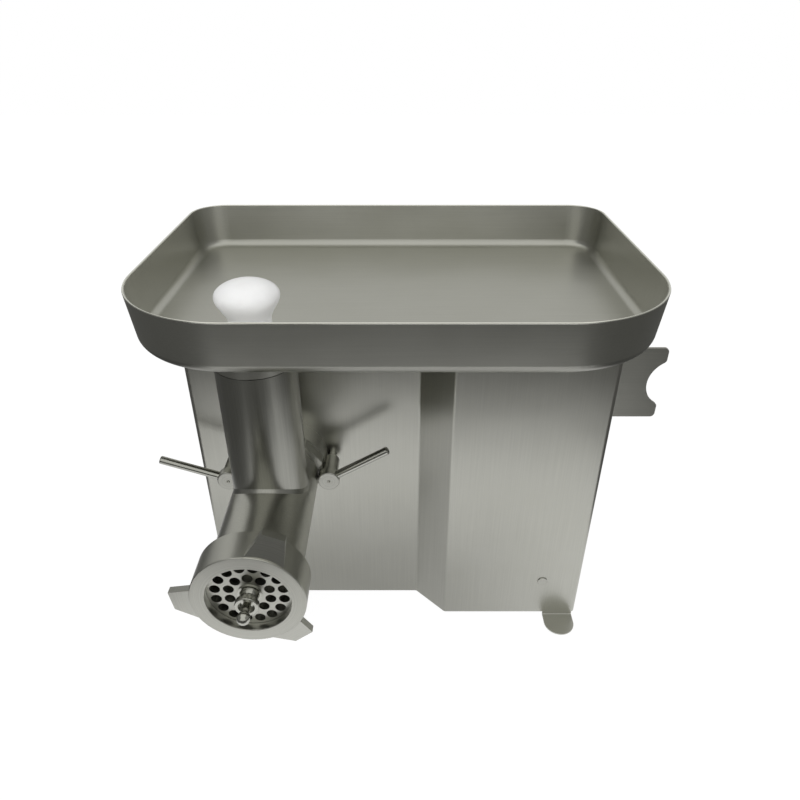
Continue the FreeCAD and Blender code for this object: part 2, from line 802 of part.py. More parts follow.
def make_head_socket():
    socket = turned_y(
        OUTPUT_AXIS,
        [
            (OUTPUT_BOSS_RADIUS + SEAL_WIDTH, 0),
            (OUTPUT_BOSS_RADIUS + SEAL_WIDTH, FLANGE_BACK + SPIGOT_LENGTH),
            (SPIGOT_RADIUS, FLANGE_BACK + SPIGOT_LENGTH),
            (SPIGOT_RADIUS, FLANGE_BACK),
            (SOCKET_RADIUS, FLANGE_BACK),
            (SOCKET_RADIUS, 0),
        ],
    )
    for scallop in scallops(FLANGE_BACK, 0):
        socket = socket.cut(scallop)
    for place in socket_screw_places():
        socket = socket.cut(rod_y(place, BOLT_RADIUS, FLANGE_BACK / 2, 0))
    return socket


def socket_screw_places():
    circle = (SPIGOT_RADIUS + SOCKET_RADIUS) / 2
    return [offset_point(OUTPUT_AXIS, circle, 45 + 90 * turn) for turn in range(4)]


def head_flange():
    """Rear plate of the head: shoulders above, an ear beside each clamp, drawn in to the barrel below."""
    half = [
        (EAR_REACH, -EAR_BOTTOM),
        (EAR_REACH, EAR_TOP),
        (SHOULDER_REACH, SHOULDER_HEIGHT),
    ]
    outline = half + [(-x, z) for x, z in reversed(half)] + [(0, -FLANGE_FOOT)]
    corners = [(AXIS_X + x, AXIS_Z + z, FLANGE_CORNER) for x, z in outline]
    return prism(corners, "XZ", FLANGE_FRONT, FLANGE_BACK)


def feed_throat():
    return rod_z(AXIS_X, TUBE_Y, TUBE_BORE_RADIUS, AXIS_Z, TUBE_TOP)


def make_grinder_head():
    barrel = turned_y(
        OUTPUT_AXIS,
        [
            (0, FLANGE_BACK + SPIGOT_LENGTH),
            (SPIGOT_RADIUS - RUNNING_FIT, FLANGE_BACK + SPIGOT_LENGTH),
            (SPIGOT_RADIUS - RUNNING_FIT, FLANGE_BACK),
            (BARREL_RADIUS, FLANGE_BACK),
            (BARREL_RADIUS, BARREL_FRONT + THREAD_LENGTH),
            (THREAD_RADIUS, BARREL_FRONT + THREAD_LENGTH),
            (THREAD_RADIUS, BARREL_FRONT, 0.8),
            (0, BARREL_FRONT),
        ],
    )
    bore = turned_y(
        OUTPUT_AXIS,
        [
            (0, BARREL_FRONT),
            (PLATE_SEAT_RADIUS, BARREL_FRONT),
            (PLATE_SEAT_RADIUS, PLATE_BACK),
            (BARREL_BORE_RADIUS, PLATE_BACK),
            (BARREL_BORE_RADIUS, HEAD_WALL_FRONT),
            (WORM_JOURNAL_RADIUS + RUNNING_FIT, HEAD_WALL_FRONT),
            (WORM_JOURNAL_RADIUS + RUNNING_FIT, FLANGE_BACK + SPIGOT_LENGTH),
            (0, FLANGE_BACK + SPIGOT_LENGTH),
        ],
    )
    head = fused([barrel, head_flange()]).cut(bore).cut(feed_throat())
    for scallop in scallops(FLANGE_FRONT, FLANGE_BACK):
        head = head.cut(scallop)
    return head.cut(key_pin(0.0))


def make_feed_tube():
    """Tube whose lower end sits on the barrel, with the weld around it."""
    barrel = rod_y(OUTPUT_AXIS, BARREL_RADIUS, BARREL_FRONT + THREAD_LENGTH, FLANGE_FRONT)
    tube = rod_z(AXIS_X, TUBE_Y, TUBE_RADIUS, AXIS_Z, TUBE_TOP)
    body = barrel.fuse(tube).removeSplitter()
    seam = [
        edge
        for edge in body.Edges
        if edge.BoundBox.ZMin > AXIS_Z
        and edge.BoundBox.ZMax < AXIS_Z + BARREL_RADIUS + SEAT_GAP
        and abs(edge.BoundBox.Center.y - TUBE_Y) < TUBE_RADIUS + SEAT_GAP
        and edge.BoundBox.YLength > WELD_LEG
        and edge.Curve.TypeId not in ("Part::GeomCircle", "Part::GeomLine")
    ]
    return body.makeChamfer(WELD_LEG, seam).cut(barrel).cut(feed_throat())


def key_pin(gap):
    """Pin across the barrel's front edge that stops the plate from turning."""
    start = BARREL_FRONT
    centre = (AXIS_X, AXIS_Z + PLATE_RADIUS)
    return rod_y(centre, KEY_PIN_RADIUS + gap, start, start + KEY_PIN_LENGTH)


def make_mount_studs():
    return [
        rod_y(centre, STUD_RADIUS, CLAMP_NUT_FRONT + CLAMP_CAP, NOSE_PLATE_BACK)
        for centre in clamp_centres()
    ]


def clamp_rod(centre, degrees):
    start = STUD_RADIUS + RUNNING_FIT + (NUT_HEAD_RADIUS - STUD_RADIUS - ROD_SEAT)
    rod = Part.makeCylinder(
        ROD_RADIUS, ROD_REACH - start, Vector(centre[0] + start, ROD_Y, centre[1]), Vector(1, 0, 0)
    )
    tip = [edge for edge in rod.Edges if edge.BoundBox.XMin > centre[0] + ROD_REACH - 1e-6]
    return about_axis(rod.makeChamfer(ROD_RADIUS / 5, tip), centre, degrees)


def clamp_nut(centre, degrees):
    front = CLAMP_NUT_FRONT
    shoulder = front + NUT_HEAD_LENGTH
    hole = STUD_RADIUS + RUNNING_FIT
    nut = turned_y(
        centre,
        [
            (0, front + CENTRE_MARK_DEPTH),
            (CENTRE_MARK_RADIUS, front),
            (NUT_HEAD_RADIUS, front, 1.2),
            (NUT_HEAD_RADIUS, shoulder, 0.8),
            (NUT_SLEEVE_RADIUS, shoulder),
            (NUT_SLEEVE_RADIUS, CLAMP_NUT_BACK, 0.8),
            (hole, CLAMP_NUT_BACK),
            (hole, front + CLAMP_CAP - SEAT_GAP),
            (0, front + CLAMP_CAP - SEAT_GAP),
        ],
    )
    return nut.cut(clamp_rod(centre, degrees))


# Ring nut, plate, knife and worm


def make_wing():
    """One wing of the ring nut, pointing along +X, its front face leaning back towards the tip."""
    half_root = WING_ROOT_WIDTH / 2
    half_tip = WING_TIP_WIDTH / 2
    root = RING_RADIUS - RING_EDGE - 2.0
    sections = []
    ends = ((root, half_root, WING_SETBACK), (WING_TIP_RADIUS, half_tip, WING_LEAN))
    for radius, half, back in ends:
        front = RING_FACE + back
        x = AXIS_X + radius
        sections.append(
            Part.makePolygon(
                [
                    Vector(x, front, AXIS_Z - half),
                    Vector(x, front, AXIS_Z + half),
                    Vector(x, front + WING_THICKNESS, AXIS_Z + half),
                    Vector(x, front + WING_THICKNESS, AXIS_Z - half),
                    Vector(x, front, AXIS_Z - half),
                ]
            )
        )
    return Part.makeLoft(sections, True, True)


def make_ring_nut():
    back = RING_FACE + RING_LENGTH
    body = turned_y(
        OUTPUT_AXIS,
        [
            (RING_OPENING_RADIUS, RING_FACE, 0.6),
            (RING_RADIUS, RING_FACE, RING_EDGE),
            (RING_RADIUS, back, RING_EDGE),
            (THREAD_RADIUS + THREAD_GAP, back),
            (THREAD_RADIUS + THREAD_GAP, RING_FACE + RING_LIP),
            (RING_OPENING_RADIUS, RING_FACE + RING_LIP),
        ],
    )
    wing = make_wing()
    wings = [
        about_axis(wing, OUTPUT_AXIS, WING_FIRST_ANGLE + 360 / WING_COUNT * turn)
        for turn in range(WING_COUNT)
    ]
    inside = rod_y(OUTPUT_AXIS, THREAD_RADIUS + THREAD_GAP, RING_FACE + RING_LIP, back)
    return fused([body] + wings).cut(inside)


def hole_circle(count, circle, first):
    return [offset_point(OUTPUT_AXIS, circle, first + 360 / count * turn) for turn in range(count)]


def make_grinder_plate():
    plate = ring_y(OUTPUT_AXIS, PLATE_RADIUS, PLATE_BORE_RADIUS, PLATE_FRONT, PLATE_BACK)
    places = hole_circle(OUTER_HOLES, OUTER_HOLE_CIRCLE, 180 / OUTER_HOLES)
    places += hole_circle(INNER_HOLES, INNER_HOLE_CIRCLE, 90)
    holes = [rod_y(place, PLATE_HOLE_RADIUS, PLATE_FRONT, PLATE_BACK) for place in places]
    return plate.cut(Part.makeCompound(holes)).cut(key_pin(SEAT_GAP))


def make_knife():
    hub = rod_y(OUTPUT_AXIS, KNIFE_HUB_RADIUS, KNIFE_FRONT, KNIFE_BACK)
    half = KNIFE_ARM_WIDTH / 2
    root = -KNIFE_HUB_RADIUS / 4
    arm = prism(
        [
            (AXIS_X + root, AXIS_Z - half, 0),
            (AXIS_X + KNIFE_RADIUS, AXIS_Z - half + KNIFE_SWEEP / 2, 0),
            (AXIS_X + KNIFE_RADIUS, AXIS_Z + half, 0),
            (AXIS_X + root, AXIS_Z + half, 0),
        ],
        "XZ",
        KNIFE_FRONT,
        KNIFE_BACK,
    )
    bevel = prism(
        [
            (KNIFE_FRONT + KNIFE_THICKNESS / 2, AXIS_Z + half + 1.0, 0),
            (KNIFE_BACK + 1.0, AXIS_Z + half + 1.0, 0),
            (KNIFE_BACK + 1.0, AXIS_Z + half / 3, 0),
        ],
        "YZ",
        AXIS_X + KNIFE_HUB_RADIUS,
        AXIS_X + KNIFE_RADIUS + 1.0,
    )
    arm = arm.cut(bevel).common(rod_y(OUTPUT_AXIS, KNIFE_RADIUS, KNIFE_FRONT, KNIFE_BACK))
    arms = [about_axis(arm, OUTPUT_AXIS, 90 * turn) for turn in range(4)]
    return fused([hub] + arms).cut(square_bar(KNIFE_SQUARE, KNIFE_FRONT, KNIFE_BACK))


def square_bar(width, y0, y1):
    half = width / 2
    return box(AXIS_X - half, AXIS_X + half, y0, y1, AXIS_Z - half, AXIS_Z + half)


def make_worm():
    length = WORM_BACK - KNIFE_BACK
    helix = Part.makeHelix(WORM_PITCH, length, WORM_CORE_RADIUS)
    inner = WORM_CORE_RADIUS - 2.0
    outer = WORM_RADIUS + 2.0
    profile = Part.makePolygon(
        [
            Vector(inner, 0, -WORM_FLIGHT_ROOT / 2),
            Vector(outer, 0, -WORM_FLIGHT_TIP / 2),
            Vector(outer, 0, WORM_FLIGHT_TIP / 2),
            Vector(inner, 0, WORM_FLIGHT_ROOT / 2),
            Vector(inner, 0, -WORM_FLIGHT_ROOT / 2),
        ]
    )
    flight = Part.Wire(helix.Edges).makePipeShell([profile], True, True)
    flight = flight.common(Part.makeCylinder(WORM_RADIUS, length))
    flight.rotate(Vector(0, 0, 0), Vector(1, 0, 0), -90)
    flight.translate(Vector(AXIS_X, KNIFE_BACK, AXIS_Z))
    core = rod_y(OUTPUT_AXIS, WORM_CORE_RADIUS, KNIFE_BACK, WORM_BACK)
    journal = rod_y(
        OUTPUT_AXIS, WORM_JOURNAL_RADIUS, WORM_BACK, FLANGE_BACK + SPIGOT_LENGTH - SEAT_GAP
    )
    tang = square_bar(WORM_TANG, FLANGE_BACK + SPIGOT_LENGTH - 1.0, TANG_BACK)
    worm = fused([core, flight, journal, tang])
    return worm.cut(rod_y(OUTPUT_AXIS, STUD_SCREW_RADIUS, KNIFE_BACK, KNIFE_BACK + STUD_SCREW_LENGTH))


def make_worm_stud():
    shoulder = PLATE_FRONT - 1.0
    collar_front = -STUD_COLLAR_FRONT
    collar_back = collar_front + STUD_COLLAR_LENGTH
    waist = (shoulder + collar_back) / 2
    ball = Part.makeSphere(STUD_BALL_RADIUS, Vector(AXIS_X, -STUD_BALL_AHEAD, AXIS_Z))
    turned = turned_y(
        OUTPUT_AXIS,
        [
            (0, -STUD_BALL_AHEAD),
            (STUD_NECK_RADIUS, -STUD_BALL_AHEAD),
            (STUD_NECK_RADIUS, collar_front + STUD_RECESS_DEPTH),
            (STUD_RECESS_RADIUS, collar_front + STUD_RECESS_DEPTH),
            (STUD_RECESS_RADIUS, collar_front),
            (STUD_COLLAR_RADIUS, collar_front, 0.8),
            (STUD_COLLAR_RADIUS, collar_back, 0.8),
            (STUD_WAIST_RADIUS, collar_back),
            (STUD_WAIST_RADIUS, waist, 2.0),
            (STUD_SHOULDER_RADIUS, shoulder),
            (PLATE_BORE_RADIUS - RUNNING_FIT, shoulder),
            (PLATE_BORE_RADIUS - RUNNING_FIT, KNIFE_FRONT),
            (STUD_SCREW_RADIUS, KNIFE_FRONT),
            (STUD_SCREW_RADIUS, KNIFE_BACK + STUD_SCREW_LENGTH),
            (0, KNIFE_BACK + STUD_SCREW_LENGTH),
        ],
    )
    return fused([turned, ball, square_bar(KNIFE_SQUARE, KNIFE_FRONT, KNIFE_BACK)])


# Gear train


def involute(angle):
    return math.tan(angle) - angle


def gear(centre, module, teeth, phase, y0, bore):
    """Spur gear with one tooth pointing at phase (degrees from +X towards +Z)."""
    pitch = pitch_radius(module, teeth)
    pressure = math.radians(PRESSURE_ANGLE)
    base = pitch * math.cos(pressure)
    tip = pitch + module
    root = pitch - 1.25 * module
    half_pitch = math.pi / (2 * teeth) - BACKLASH / (2 * pitch)

    def half_angle(radius):
        lean = math.acos(min(1.0, base / radius))
        return half_pitch + involute(pressure) - involute(lean)

    def point(radius, angle):
        return Vector(
            centre[0] + radius * math.cos(angle), y0, centre[1] + radius * math.sin(angle)
        )

    flank = [root, pitch, tip]
    first = None
    last = None
    edges = []
    for tooth in range(teeth):
        middle = math.radians(phase) + 2 * math.pi * tooth / teeth
        rising = [point(radius, middle - half_angle(radius)) for radius in flank]
        falling = [point(radius, middle + half_angle(radius)) for radius in reversed(flank)]
        if last is not None:
            edges.append(Part.makeLine(last, rising[0]))
        else:
            first = rising[0]
        edges.append(Part.Arc(*rising).toShape())
        edges.append(Part.makeLine(rising[2], falling[0]))
        edges.append(Part.Arc(*falling).toShape())
        last = falling[2]
    edges.append(Part.makeLine(last, first))
    blank = Part.Face(Part.Wire(edges)).extrude(Vector(0, GEAR_WIDTH, 0))
    return blank.cut(rod_y(centre, bore, y0, y0 + GEAR_WIDTH))


def make_gears():
    gap_turn = 180.0 / OUTPUT_TEETH
    fast_gap = 180.0 / MOTOR_TEETH
    return {
        "layshaft_pinion": gear(
            LAYSHAFT_AXIS,
            SLOW_MODULE,
            PINION_TEETH,
            LAYSHAFT_ANGLE + 180,
            GEARS_FRONT,
            LAYSHAFT_RADIUS,
        ),
        "output_gear": gear(
            OUTPUT_AXIS,
            SLOW_MODULE,
            OUTPUT_TEETH,
            LAYSHAFT_ANGLE + gap_turn,
            GEARS_FRONT,
            OUTPUT_SHAFT_RADIUS,
        ),
        "layshaft_gear": gear(
            LAYSHAFT_AXIS, FAST_MODULE, LAYSHAFT_TEETH, MOTOR_ANGLE, FAST_FRONT, LAYSHAFT_RADIUS
        ),
        "motor_pinion": gear(
            MOTOR_AXIS,
            FAST_MODULE,
            MOTOR_TEETH,
            MOTOR_ANGLE + 180 + fast_gap,
            FAST_FRONT,
            MOTOR_SHAFT_RADIUS,
        ),
    }


def link_face(first, first_radius, second, second_radius, y0, y1):
    """Prism whose outline wraps two circles with their outer tangents."""
    dx = second[0] - first[0]
    dz = second[1] - first[1]
    distance = math.hypot(dx, dz)
    heading = math.degrees(math.atan2(dz, dx))
    lean = math.degrees(math.acos((first_radius - second_radius) / distance))
    corners = [
        offset_point(first, first_radius, heading + lean),
        offset_point(second, second_radius, heading + lean),
        offset_point(second, second_radius, heading - lean),
        offset_point(first, first_radius, heading - lean),
    ]
    web = prism([(u, v, 0) for u, v in corners], "XZ", y0, y1)
    return fused([web, rod_y(first, first_radius, y0, y1), rod_y(second, second_radius, y0, y1)])


def case_radii():
    addendum = 1.0
    output = SLOW_MODULE * (OUTPUT_TEETH / 2 + addendum)
    layshaft = FAST_MODULE * (LAYSHAFT_TEETH / 2 + addendum)
    motor = FAST_MODULE * (MOTOR_TEETH / 2 + addendum)
    return [radius + CASE_ROOM for radius in (output, layshaft, motor)]


def case_block(wall, y0, y1):
    output, layshaft, motor = [radius + wall for radius in case_radii()]
    slow = link_face(OUTPUT_AXIS, output, LAYSHAFT_AXIS, layshaft, y0, y1)
    fast = link_face(LAYSHAFT_AXIS, layshaft, MOTOR_AXIS, motor, y0, y1)
    return fused([slow, fast])


def lug_places():
    output, layshaft, motor = [radius + CASE_WALL for radius in case_radii()]
    places = [offset_point(OUTPUT_AXIS, output, angle) for angle in OUTPUT_LUG_ANGLES]
    places += [offset_point(LAYSHAFT_AXIS, layshaft, angle) for angle in LAYSHAFT_LUG_ANGLES]
    motor_lug = motor + LUG_RADIUS / 2
    places += [offset_point(MOTOR_AXIS, motor_lug, angle) for angle in MOTOR_LUG_ANGLES]
    return places


def with_lugs(block, y0, y1):
    return fused([block] + [rod_y(place, LUG_RADIUS, y0, y1) for place in lug_places()])


def bearing_seats():
    """Axis, shaft radius and front faces of the bearings on the layshaft and the output shaft."""
    return {
        "output_bearings": (OUTPUT_AXIS, OUTPUT_SHAFT_RADIUS, (BOSS_BACK, CASE_FRONT - BEARING_WIDTH)),
        "layshaft_bearings": (LAYSHAFT_AXIS, LAYSHAFT_RADIUS, (CASE_FRONT, CASE_BACK)),
        "motor_bearings": (MOTOR_AXIS, MOTOR_SHAFT_RADIUS, (SHIELD_FRONT, CASE_FRONT)),
    }


def make_bearings(name):
    centre, shaft, fronts = bearing_seats()[name]
    inner = shaft + RUNNING_FIT
    outer = shaft + BEARING_SECTION
    groove = BEARING_SECTION / 3
    rings = []
    for front in fronts:
        back = front + min(BEARING_WIDTH, bearing_room(name, front))
        middle = inner + groove
        rings.append(
            turned_y(
                centre,
                [
                    (inner, front),
                    (middle, front),
                    (middle, front + 0.8),
                    (outer - groove, front + 0.8),
                    (outer - groove, front),
                    (outer, front),
                    (outer, back),
                    (inner, back),
                ],
            )
        )
    return rings


def bearing_room(name, front):
    """Depth of the seat: the case's front wall and the cover are thinner than a full bearing."""
    if name == "output_bearings":
        return BEARING_WIDTH
    if front >= CASE_BACK:
        return COVER_THICKNESS
    return CASE_WALL


def bearing_pockets(shape, names):
    for name in names:
        centre, shaft, fronts = bearing_seats()[name]
        for front in fronts:
            back = front + min(BEARING_WIDTH, bearing_room(name, front))
            shape = shape.cut(rod_y(centre, shaft + BEARING_SECTION, front, back))
    return shape


def make_gearbox_case():
    case = with_lugs(case_block(CASE_WALL, CASE_FRONT, CASE_BACK), CASE_FRONT, CASE_BACK)
    case = case.cut(case_block(0.0, CASE_FRONT + CASE_WALL, CASE_BACK))
    case = case.cut(rod_y(OUTPUT_AXIS, OUTPUT_SHAFT_RADIUS + 1.0, CASE_FRONT, CASE_BACK))
    case = bearing_pockets(case, ("layshaft_bearings", "motor_bearings"))
    for place in lug_places():
        case = case.cut(rod_y(place, BOLT_RADIUS, CASE_BACK - BOLT_GRIP, CASE_BACK))
    return case


def make_gearbox_cover():
    cover = with_lugs(case_block(CASE_WALL, CASE_BACK, COVER_BACK), CASE_BACK, COVER_BACK)
    boss = LAYSHAFT_RADIUS + BEARING_SECTION + COVER_RIB
    cover = fused([cover, rod_y(LAYSHAFT_AXIS, boss, CASE_BACK, COVER_BACK + COVER_RIB)])
    cover = bearing_pockets(cover, ("layshaft_bearings",))
    for place in lug_places():
        cover = cover.cut(rod_y(place, BOLT_RADIUS, CASE_BACK, COVER_BACK))
    return cover


def make_gearbox_bolts():
    return [
        pan_screw(
            Vector(x, COVER_BACK, z),
            Vector(0, 1, 0),
            COVER_THICKNESS + BOLT_GRIP,
            BOLT_RADIUS,
            BOLT_HEAD_RADIUS,
            BOLT_HEAD,
        )
        for x, z in lug_places()
    ]


def make_drive_nose():
    """Bearing tube from the gearbox to the front face, with the plate that holds the clamp studs."""
    tube_outer = OUTPUT_SHAFT_RADIUS + BEARING_SECTION + NOSE_WALL
    half_x = CLAMP_OFFSET + NOSE_PLATE_MARGIN
    half_z = SOCKET_RADIUS + NOSE_PLATE_MARGIN / 2
    plate = prism(
        rectangle(AXIS_X - half_x, AXIS_X + half_x, AXIS_Z - half_z, AXIS_Z + half_z, 10.0),
        "XZ",
        NOSE_FRONT,
        NOSE_PLATE_BACK,
    )
    nose = fused([plate, rod_y(OUTPUT_AXIS, tube_outer, NOSE_FRONT, CASE_FRONT)])
    nose = nose.cut(rod_y(OUTPUT_AXIS, OUTPUT_BOSS_RADIUS + 2.0, NOSE_FRONT, BOSS_BACK))
    nose = nose.cut(rod_y(OUTPUT_AXIS, OUTPUT_SHAFT_RADIUS + 2.0, BOSS_BACK, CASE_FRONT))
    nose = bearing_pockets(nose, ("output_bearings",))
    for centre in clamp_centres():
        nose = nose.cut(rod_y(centre, STUD_RADIUS, NOSE_FRONT, NOSE_PLATE_BACK))
    for place in socket_screw_places():
        nose = nose.cut(rod_y(place, BOLT_RADIUS, NOSE_FRONT, NOSE_PLATE_BACK))
    return nose


def make_socket_screws():
    return [
        pan_screw(
            Vector(x, NOSE_PLATE_BACK, z),
            Vector(0, 1, 0),
            NOSE_PLATE_BACK - FLANGE_BACK / 2,
            BOLT_RADIUS,
            BOLT_HEAD_RADIUS,
            BOLT_HEAD,
        )
        for x, z in socket_screw_places()
    ]


def make_output_shaft():
    shaft = fused(
        [
            rod_y(OUTPUT_AXIS, OUTPUT_BOSS_RADIUS, BOSS_FRONT, BOSS_BACK - SEAT_GAP),
            rod_y(OUTPUT_AXIS, OUTPUT_SHAFT_RADIUS, BOSS_FRONT, SLOW_BACK),
        ]
    )
    return shaft.cut(square_bar(WORM_TANG, BOSS_FRONT, TANG_BACK))


def make_output_seal():
    front = FLANGE_BACK + SPIGOT_LENGTH + 2.0
    return ring_y(
        OUTPUT_AXIS,
        OUTPUT_BOSS_RADIUS + SEAL_WIDTH,
        OUTPUT_BOSS_RADIUS + RUNNING_FIT,
        front,
        front + SEAL_WIDTH,
    )


# Motor


def make_motor_housing():
    frame = ring_y(MOTOR_AXIS, MOTOR_RADIUS, STATOR_RADIUS, MOTOR_FRONT, CASE_FRONT)
    fin = box(
        MOTOR_AXIS[0] + MOTOR_RADIUS - 1.0,
        MOTOR_AXIS[0] + MOTOR_RADIUS + FIN_HEIGHT,
        MOTOR_FRONT + SHIELD_THICKNESS,
        CASE_FRONT - SHIELD_THICKNESS,
        MOTOR_AXIS[1] - FIN_WIDTH / 2,
        MOTOR_AXIS[1] + FIN_WIDTH / 2,
    )
    fins = [about_axis(fin, MOTOR_AXIS, 360 / MOTOR_FINS * turn) for turn in range(MOTOR_FINS)]
    ears = [rod_y(place, MOTOR_EAR_RADIUS, MOTOR_FRONT, CASE_FRONT) for place in motor_bolt_places()]
    body = fused([frame] + fins + ears)
    body = body.cut(rod_y(MOTOR_AXIS, STATOR_RADIUS, MOTOR_FRONT, CASE_FRONT))
    for place in motor_bolt_places():
        body = body.cut(rod_y(place, BOLT_RADIUS, MOTOR_FRONT, CASE_FRONT))
    return body


def make_stator_core():
    return ring_y(
        MOTOR_AXIS,
        STATOR_RADIUS,
        ROTOR_RADIUS + AIR_GAP,
        ROTOR_FRONT,
        ROTOR_FRONT + ROTOR_LENGTH,
    )


def make_stator_windings():
    inner = ROTOR_RADIUS + 4.0
    outer = STATOR_RADIUS - 4.0
    rings = []
    for front in (ROTOR_FRONT - WINDING_LENGTH, ROTOR_FRONT + ROTOR_LENGTH):
        back = front + WINDING_LENGTH
        bulge = WINDING_LENGTH / 3
        rings.append(
            turned_y(
                MOTOR_AXIS,
                [
                    (inner, front, bulge),
                    (outer, front, bulge),
                    (outer, back, bulge),
                    (inner, back, bulge),
                ],
            )
        )
    return rings


def make_motor_shield():
    ears = [
        rod_y(place, MOTOR_EAR_RADIUS, SHIELD_FRONT, MOTOR_FRONT) for place in motor_bolt_places()
    ]
    shield = fused([rod_y(MOTOR_AXIS, MOTOR_RADIUS, SHIELD_FRONT, MOTOR_FRONT)] + ears)
    shield = shield.cut(rod_y(MOTOR_AXIS, MOTOR_SHAFT_RADIUS + 1.0, SHIELD_FRONT, MOTOR_FRONT))
    shield = bearing_pockets(shield, ("motor_bearings",))
    for place in motor_bolt_places():
        shield = shield.cut(rod_y(place, BOLT_RADIUS, SHIELD_FRONT, MOTOR_FRONT))
    return shield


def motor_bolt_places():
    circle = MOTOR_RADIUS + MOTOR_EAR_RADIUS / 2
    return [offset_point(MOTOR_AXIS, circle, 45 + 90 * turn) for turn in range(4)]


def make_motor_bolts():
    return [
        pan_screw(
            Vector(x, SHIELD_FRONT, z),
            Vector(0, -1, 0),
            CASE_FRONT - SHIELD_FRONT,
            BOLT_RADIUS,
            BOLT_HEAD_RADIUS,
            BOLT_HEAD,
        )
        for x, z in motor_bolt_places()
    ]


def make_rotor_shaft():
    return rod_y(MOTOR_AXIS, MOTOR_SHAFT_RADIUS, FAN_FRONT, FAST_BACK)


def make_rotor_core():
    return ring_y(
        MOTOR_AXIS, ROTOR_RADIUS, MOTOR_SHAFT_RADIUS, ROTOR_FRONT, ROTOR_FRONT + ROTOR_LENGTH
    )


def make_cooling_fan():
    hub = ring_y(MOTOR_AXIS, FAN_HUB_RADIUS, MOTOR_SHAFT_RADIUS, FAN_FRONT, FAN_BACK)
    blade = box(
        MOTOR_AXIS[0] + FAN_HUB_RADIUS - 1.0,
        MOTOR_AXIS[0] + FAN_RADIUS,
        FAN_FRONT,
        FAN_BACK,
        MOTOR_AXIS[1] - FAN_BLADE / 2,
        MOTOR_AXIS[1] + FAN_BLADE / 2,
    )
    blades = [about_axis(blade, MOTOR_AXIS, 360 / FAN_BLADES * turn) for turn in range(FAN_BLADES)]
    return fused([hub] + blades)


def make_fan_cowl():
    inner = FAN_RADIUS + COWL_GAP
    cowl = turned_y(
        MOTOR_AXIS,
        [
            (0, COWL_FRONT - COWL_WALL),
            (inner + COWL_WALL, COWL_FRONT - COWL_WALL, 5.0),
            (inner + COWL_WALL, SHIELD_FRONT),
            (inner, SHIELD_FRONT),
            (inner, COWL_FRONT, 3.5),
            (0, COWL_FRONT),
        ],
    )
    for place in [
        offset_point(MOTOR_AXIS, FAN_RADIUS * 0.6, 360 / COWL_VENTS * turn)
        for turn in range(COWL_VENTS)
    ]:
        cowl = cowl.cut(rod_y(place, FAN_RADIUS / 6, COWL_FRONT - COWL_WALL, COWL_FRONT))
    return cowl


def make_run_capacitor():
    low = HOUSING_BOTTOM + BASE_SHEET
    return turned_z(
        CAPACITOR_X,
        CAPACITOR_Y,
        [
            (0, low, 0),
            (CAPACITOR_RADIUS, low, 2.0),
            (CAPACITOR_RADIUS, low + CAPACITOR_LENGTH, 2.0),
            (0, low + CAPACITOR_LENGTH, 0),
        ],
    )


def make_capacitor_clamp():
    low = HOUSING_BOTTOM + BASE_SHEET
    middle = low + CAPACITOR_LENGTH / 3
    outer = CAPACITOR_RADIUS + CLAMP_STRAP
    band = rod_z(CAPACITOR_X, CAPACITOR_Y, outer, middle, middle + CLAMP_STRAP_WIDTH)
    leg_x = CAPACITOR_X + CAPACITOR_RADIUS
    leg = box(
        leg_x,
        leg_x + CLAMP_STRAP,
        CAPACITOR_Y - CLAMP_STRAP_WIDTH / 2,
        CAPACITOR_Y + CLAMP_STRAP_WIDTH / 2,
        low,
        middle + CLAMP_STRAP_WIDTH,
    )
    foot = box(
        leg_x,
        leg_x + CLAMP_STRAP_WIDTH,
        CAPACITOR_Y - CLAMP_STRAP_WIDTH / 2,
        CAPACITOR_Y + CLAMP_STRAP_WIDTH / 2,
        low,
        low + CLAMP_STRAP,
    )
    strap = fused([band, leg, foot])
    return strap.cut(
        rod_z(CAPACITOR_X, CAPACITOR_Y, CAPACITOR_RADIUS, low, low + CAPACITOR_LENGTH)
    )


# Tray and pusher


def tray_corners(inset):
    half = TRAY_WIDTH / 2 - inset
    front = -TRAY_FRONT + inset
    back = TRAY_DEPTH - TRAY_FRONT - inset
    return [
        (-half, front, TRAY_FRONT_CORNER - inset),
        (half, front, TRAY_FRONT_CORNER - inset),
        (half, back, TRAY_BACK_CORNER - inset),
        (-half, back, TRAY_BACK_CORNER - inset),
    ]


def tray_block(skin, low, high, bend):
    """Drafted block of the tray's outline, drawn in by skin, with a rounded bottom edge."""
    wires = []
    for z in (low, high):
        lean = TRAY_DRAFT * (TRAY_RIM - z) / TRAY_HEIGHT
        wire = rounded_wire(tray_corners(lean + skin))
        wire.translate(Vector(0, 0, z))
        wires.append(wire)
    block = Part.makeLoft(wires, True, True)
    bottom = [edge for edge in block.Edges if edge.BoundBox.ZMax < low + 1e-6]
    return block.makeFillet(bend, bottom)


def make_tray():
    over = TRAY_RIM + TRAY_SHEET
    outer = tray_block(0.0, TRAY_UNDERSIDE, TRAY_RIM, TRAY_BEND + TRAY_SHEET)
    inner = tray_block(TRAY_SHEET, TRAY_FLOOR, over, TRAY_BEND)
    throat = rod_z(AXIS_X, TUBE_Y, COLLAR_BORE_RADIUS, TRAY_UNDERSIDE, TRAY_FLOOR)
    return outer.cut(inner).cut(throat)


def make_tray_collar():
    seat = TUBE_TOP + SEAT_GAP
    spigot_radius = TUBE_BORE_RADIUS - SEAT_GAP
    return turned_z(
        AXIS_X,
        TUBE_Y,
        [
            (COLLAR_BORE_RADIUS, TUBE_TOP - COLLAR_SPIGOT, 0),
            (spigot_radius, TUBE_TOP - COLLAR_SPIGOT, 0),
            (spigot_radius, seat, 0),
            (TUBE_RADIUS, seat, 0.5),
            (TUBE_RADIUS, TRAY_UNDERSIDE, 0),
            (COLLAR_BORE_RADIUS, TRAY_UNDERSIDE, 0),
        ],
    )


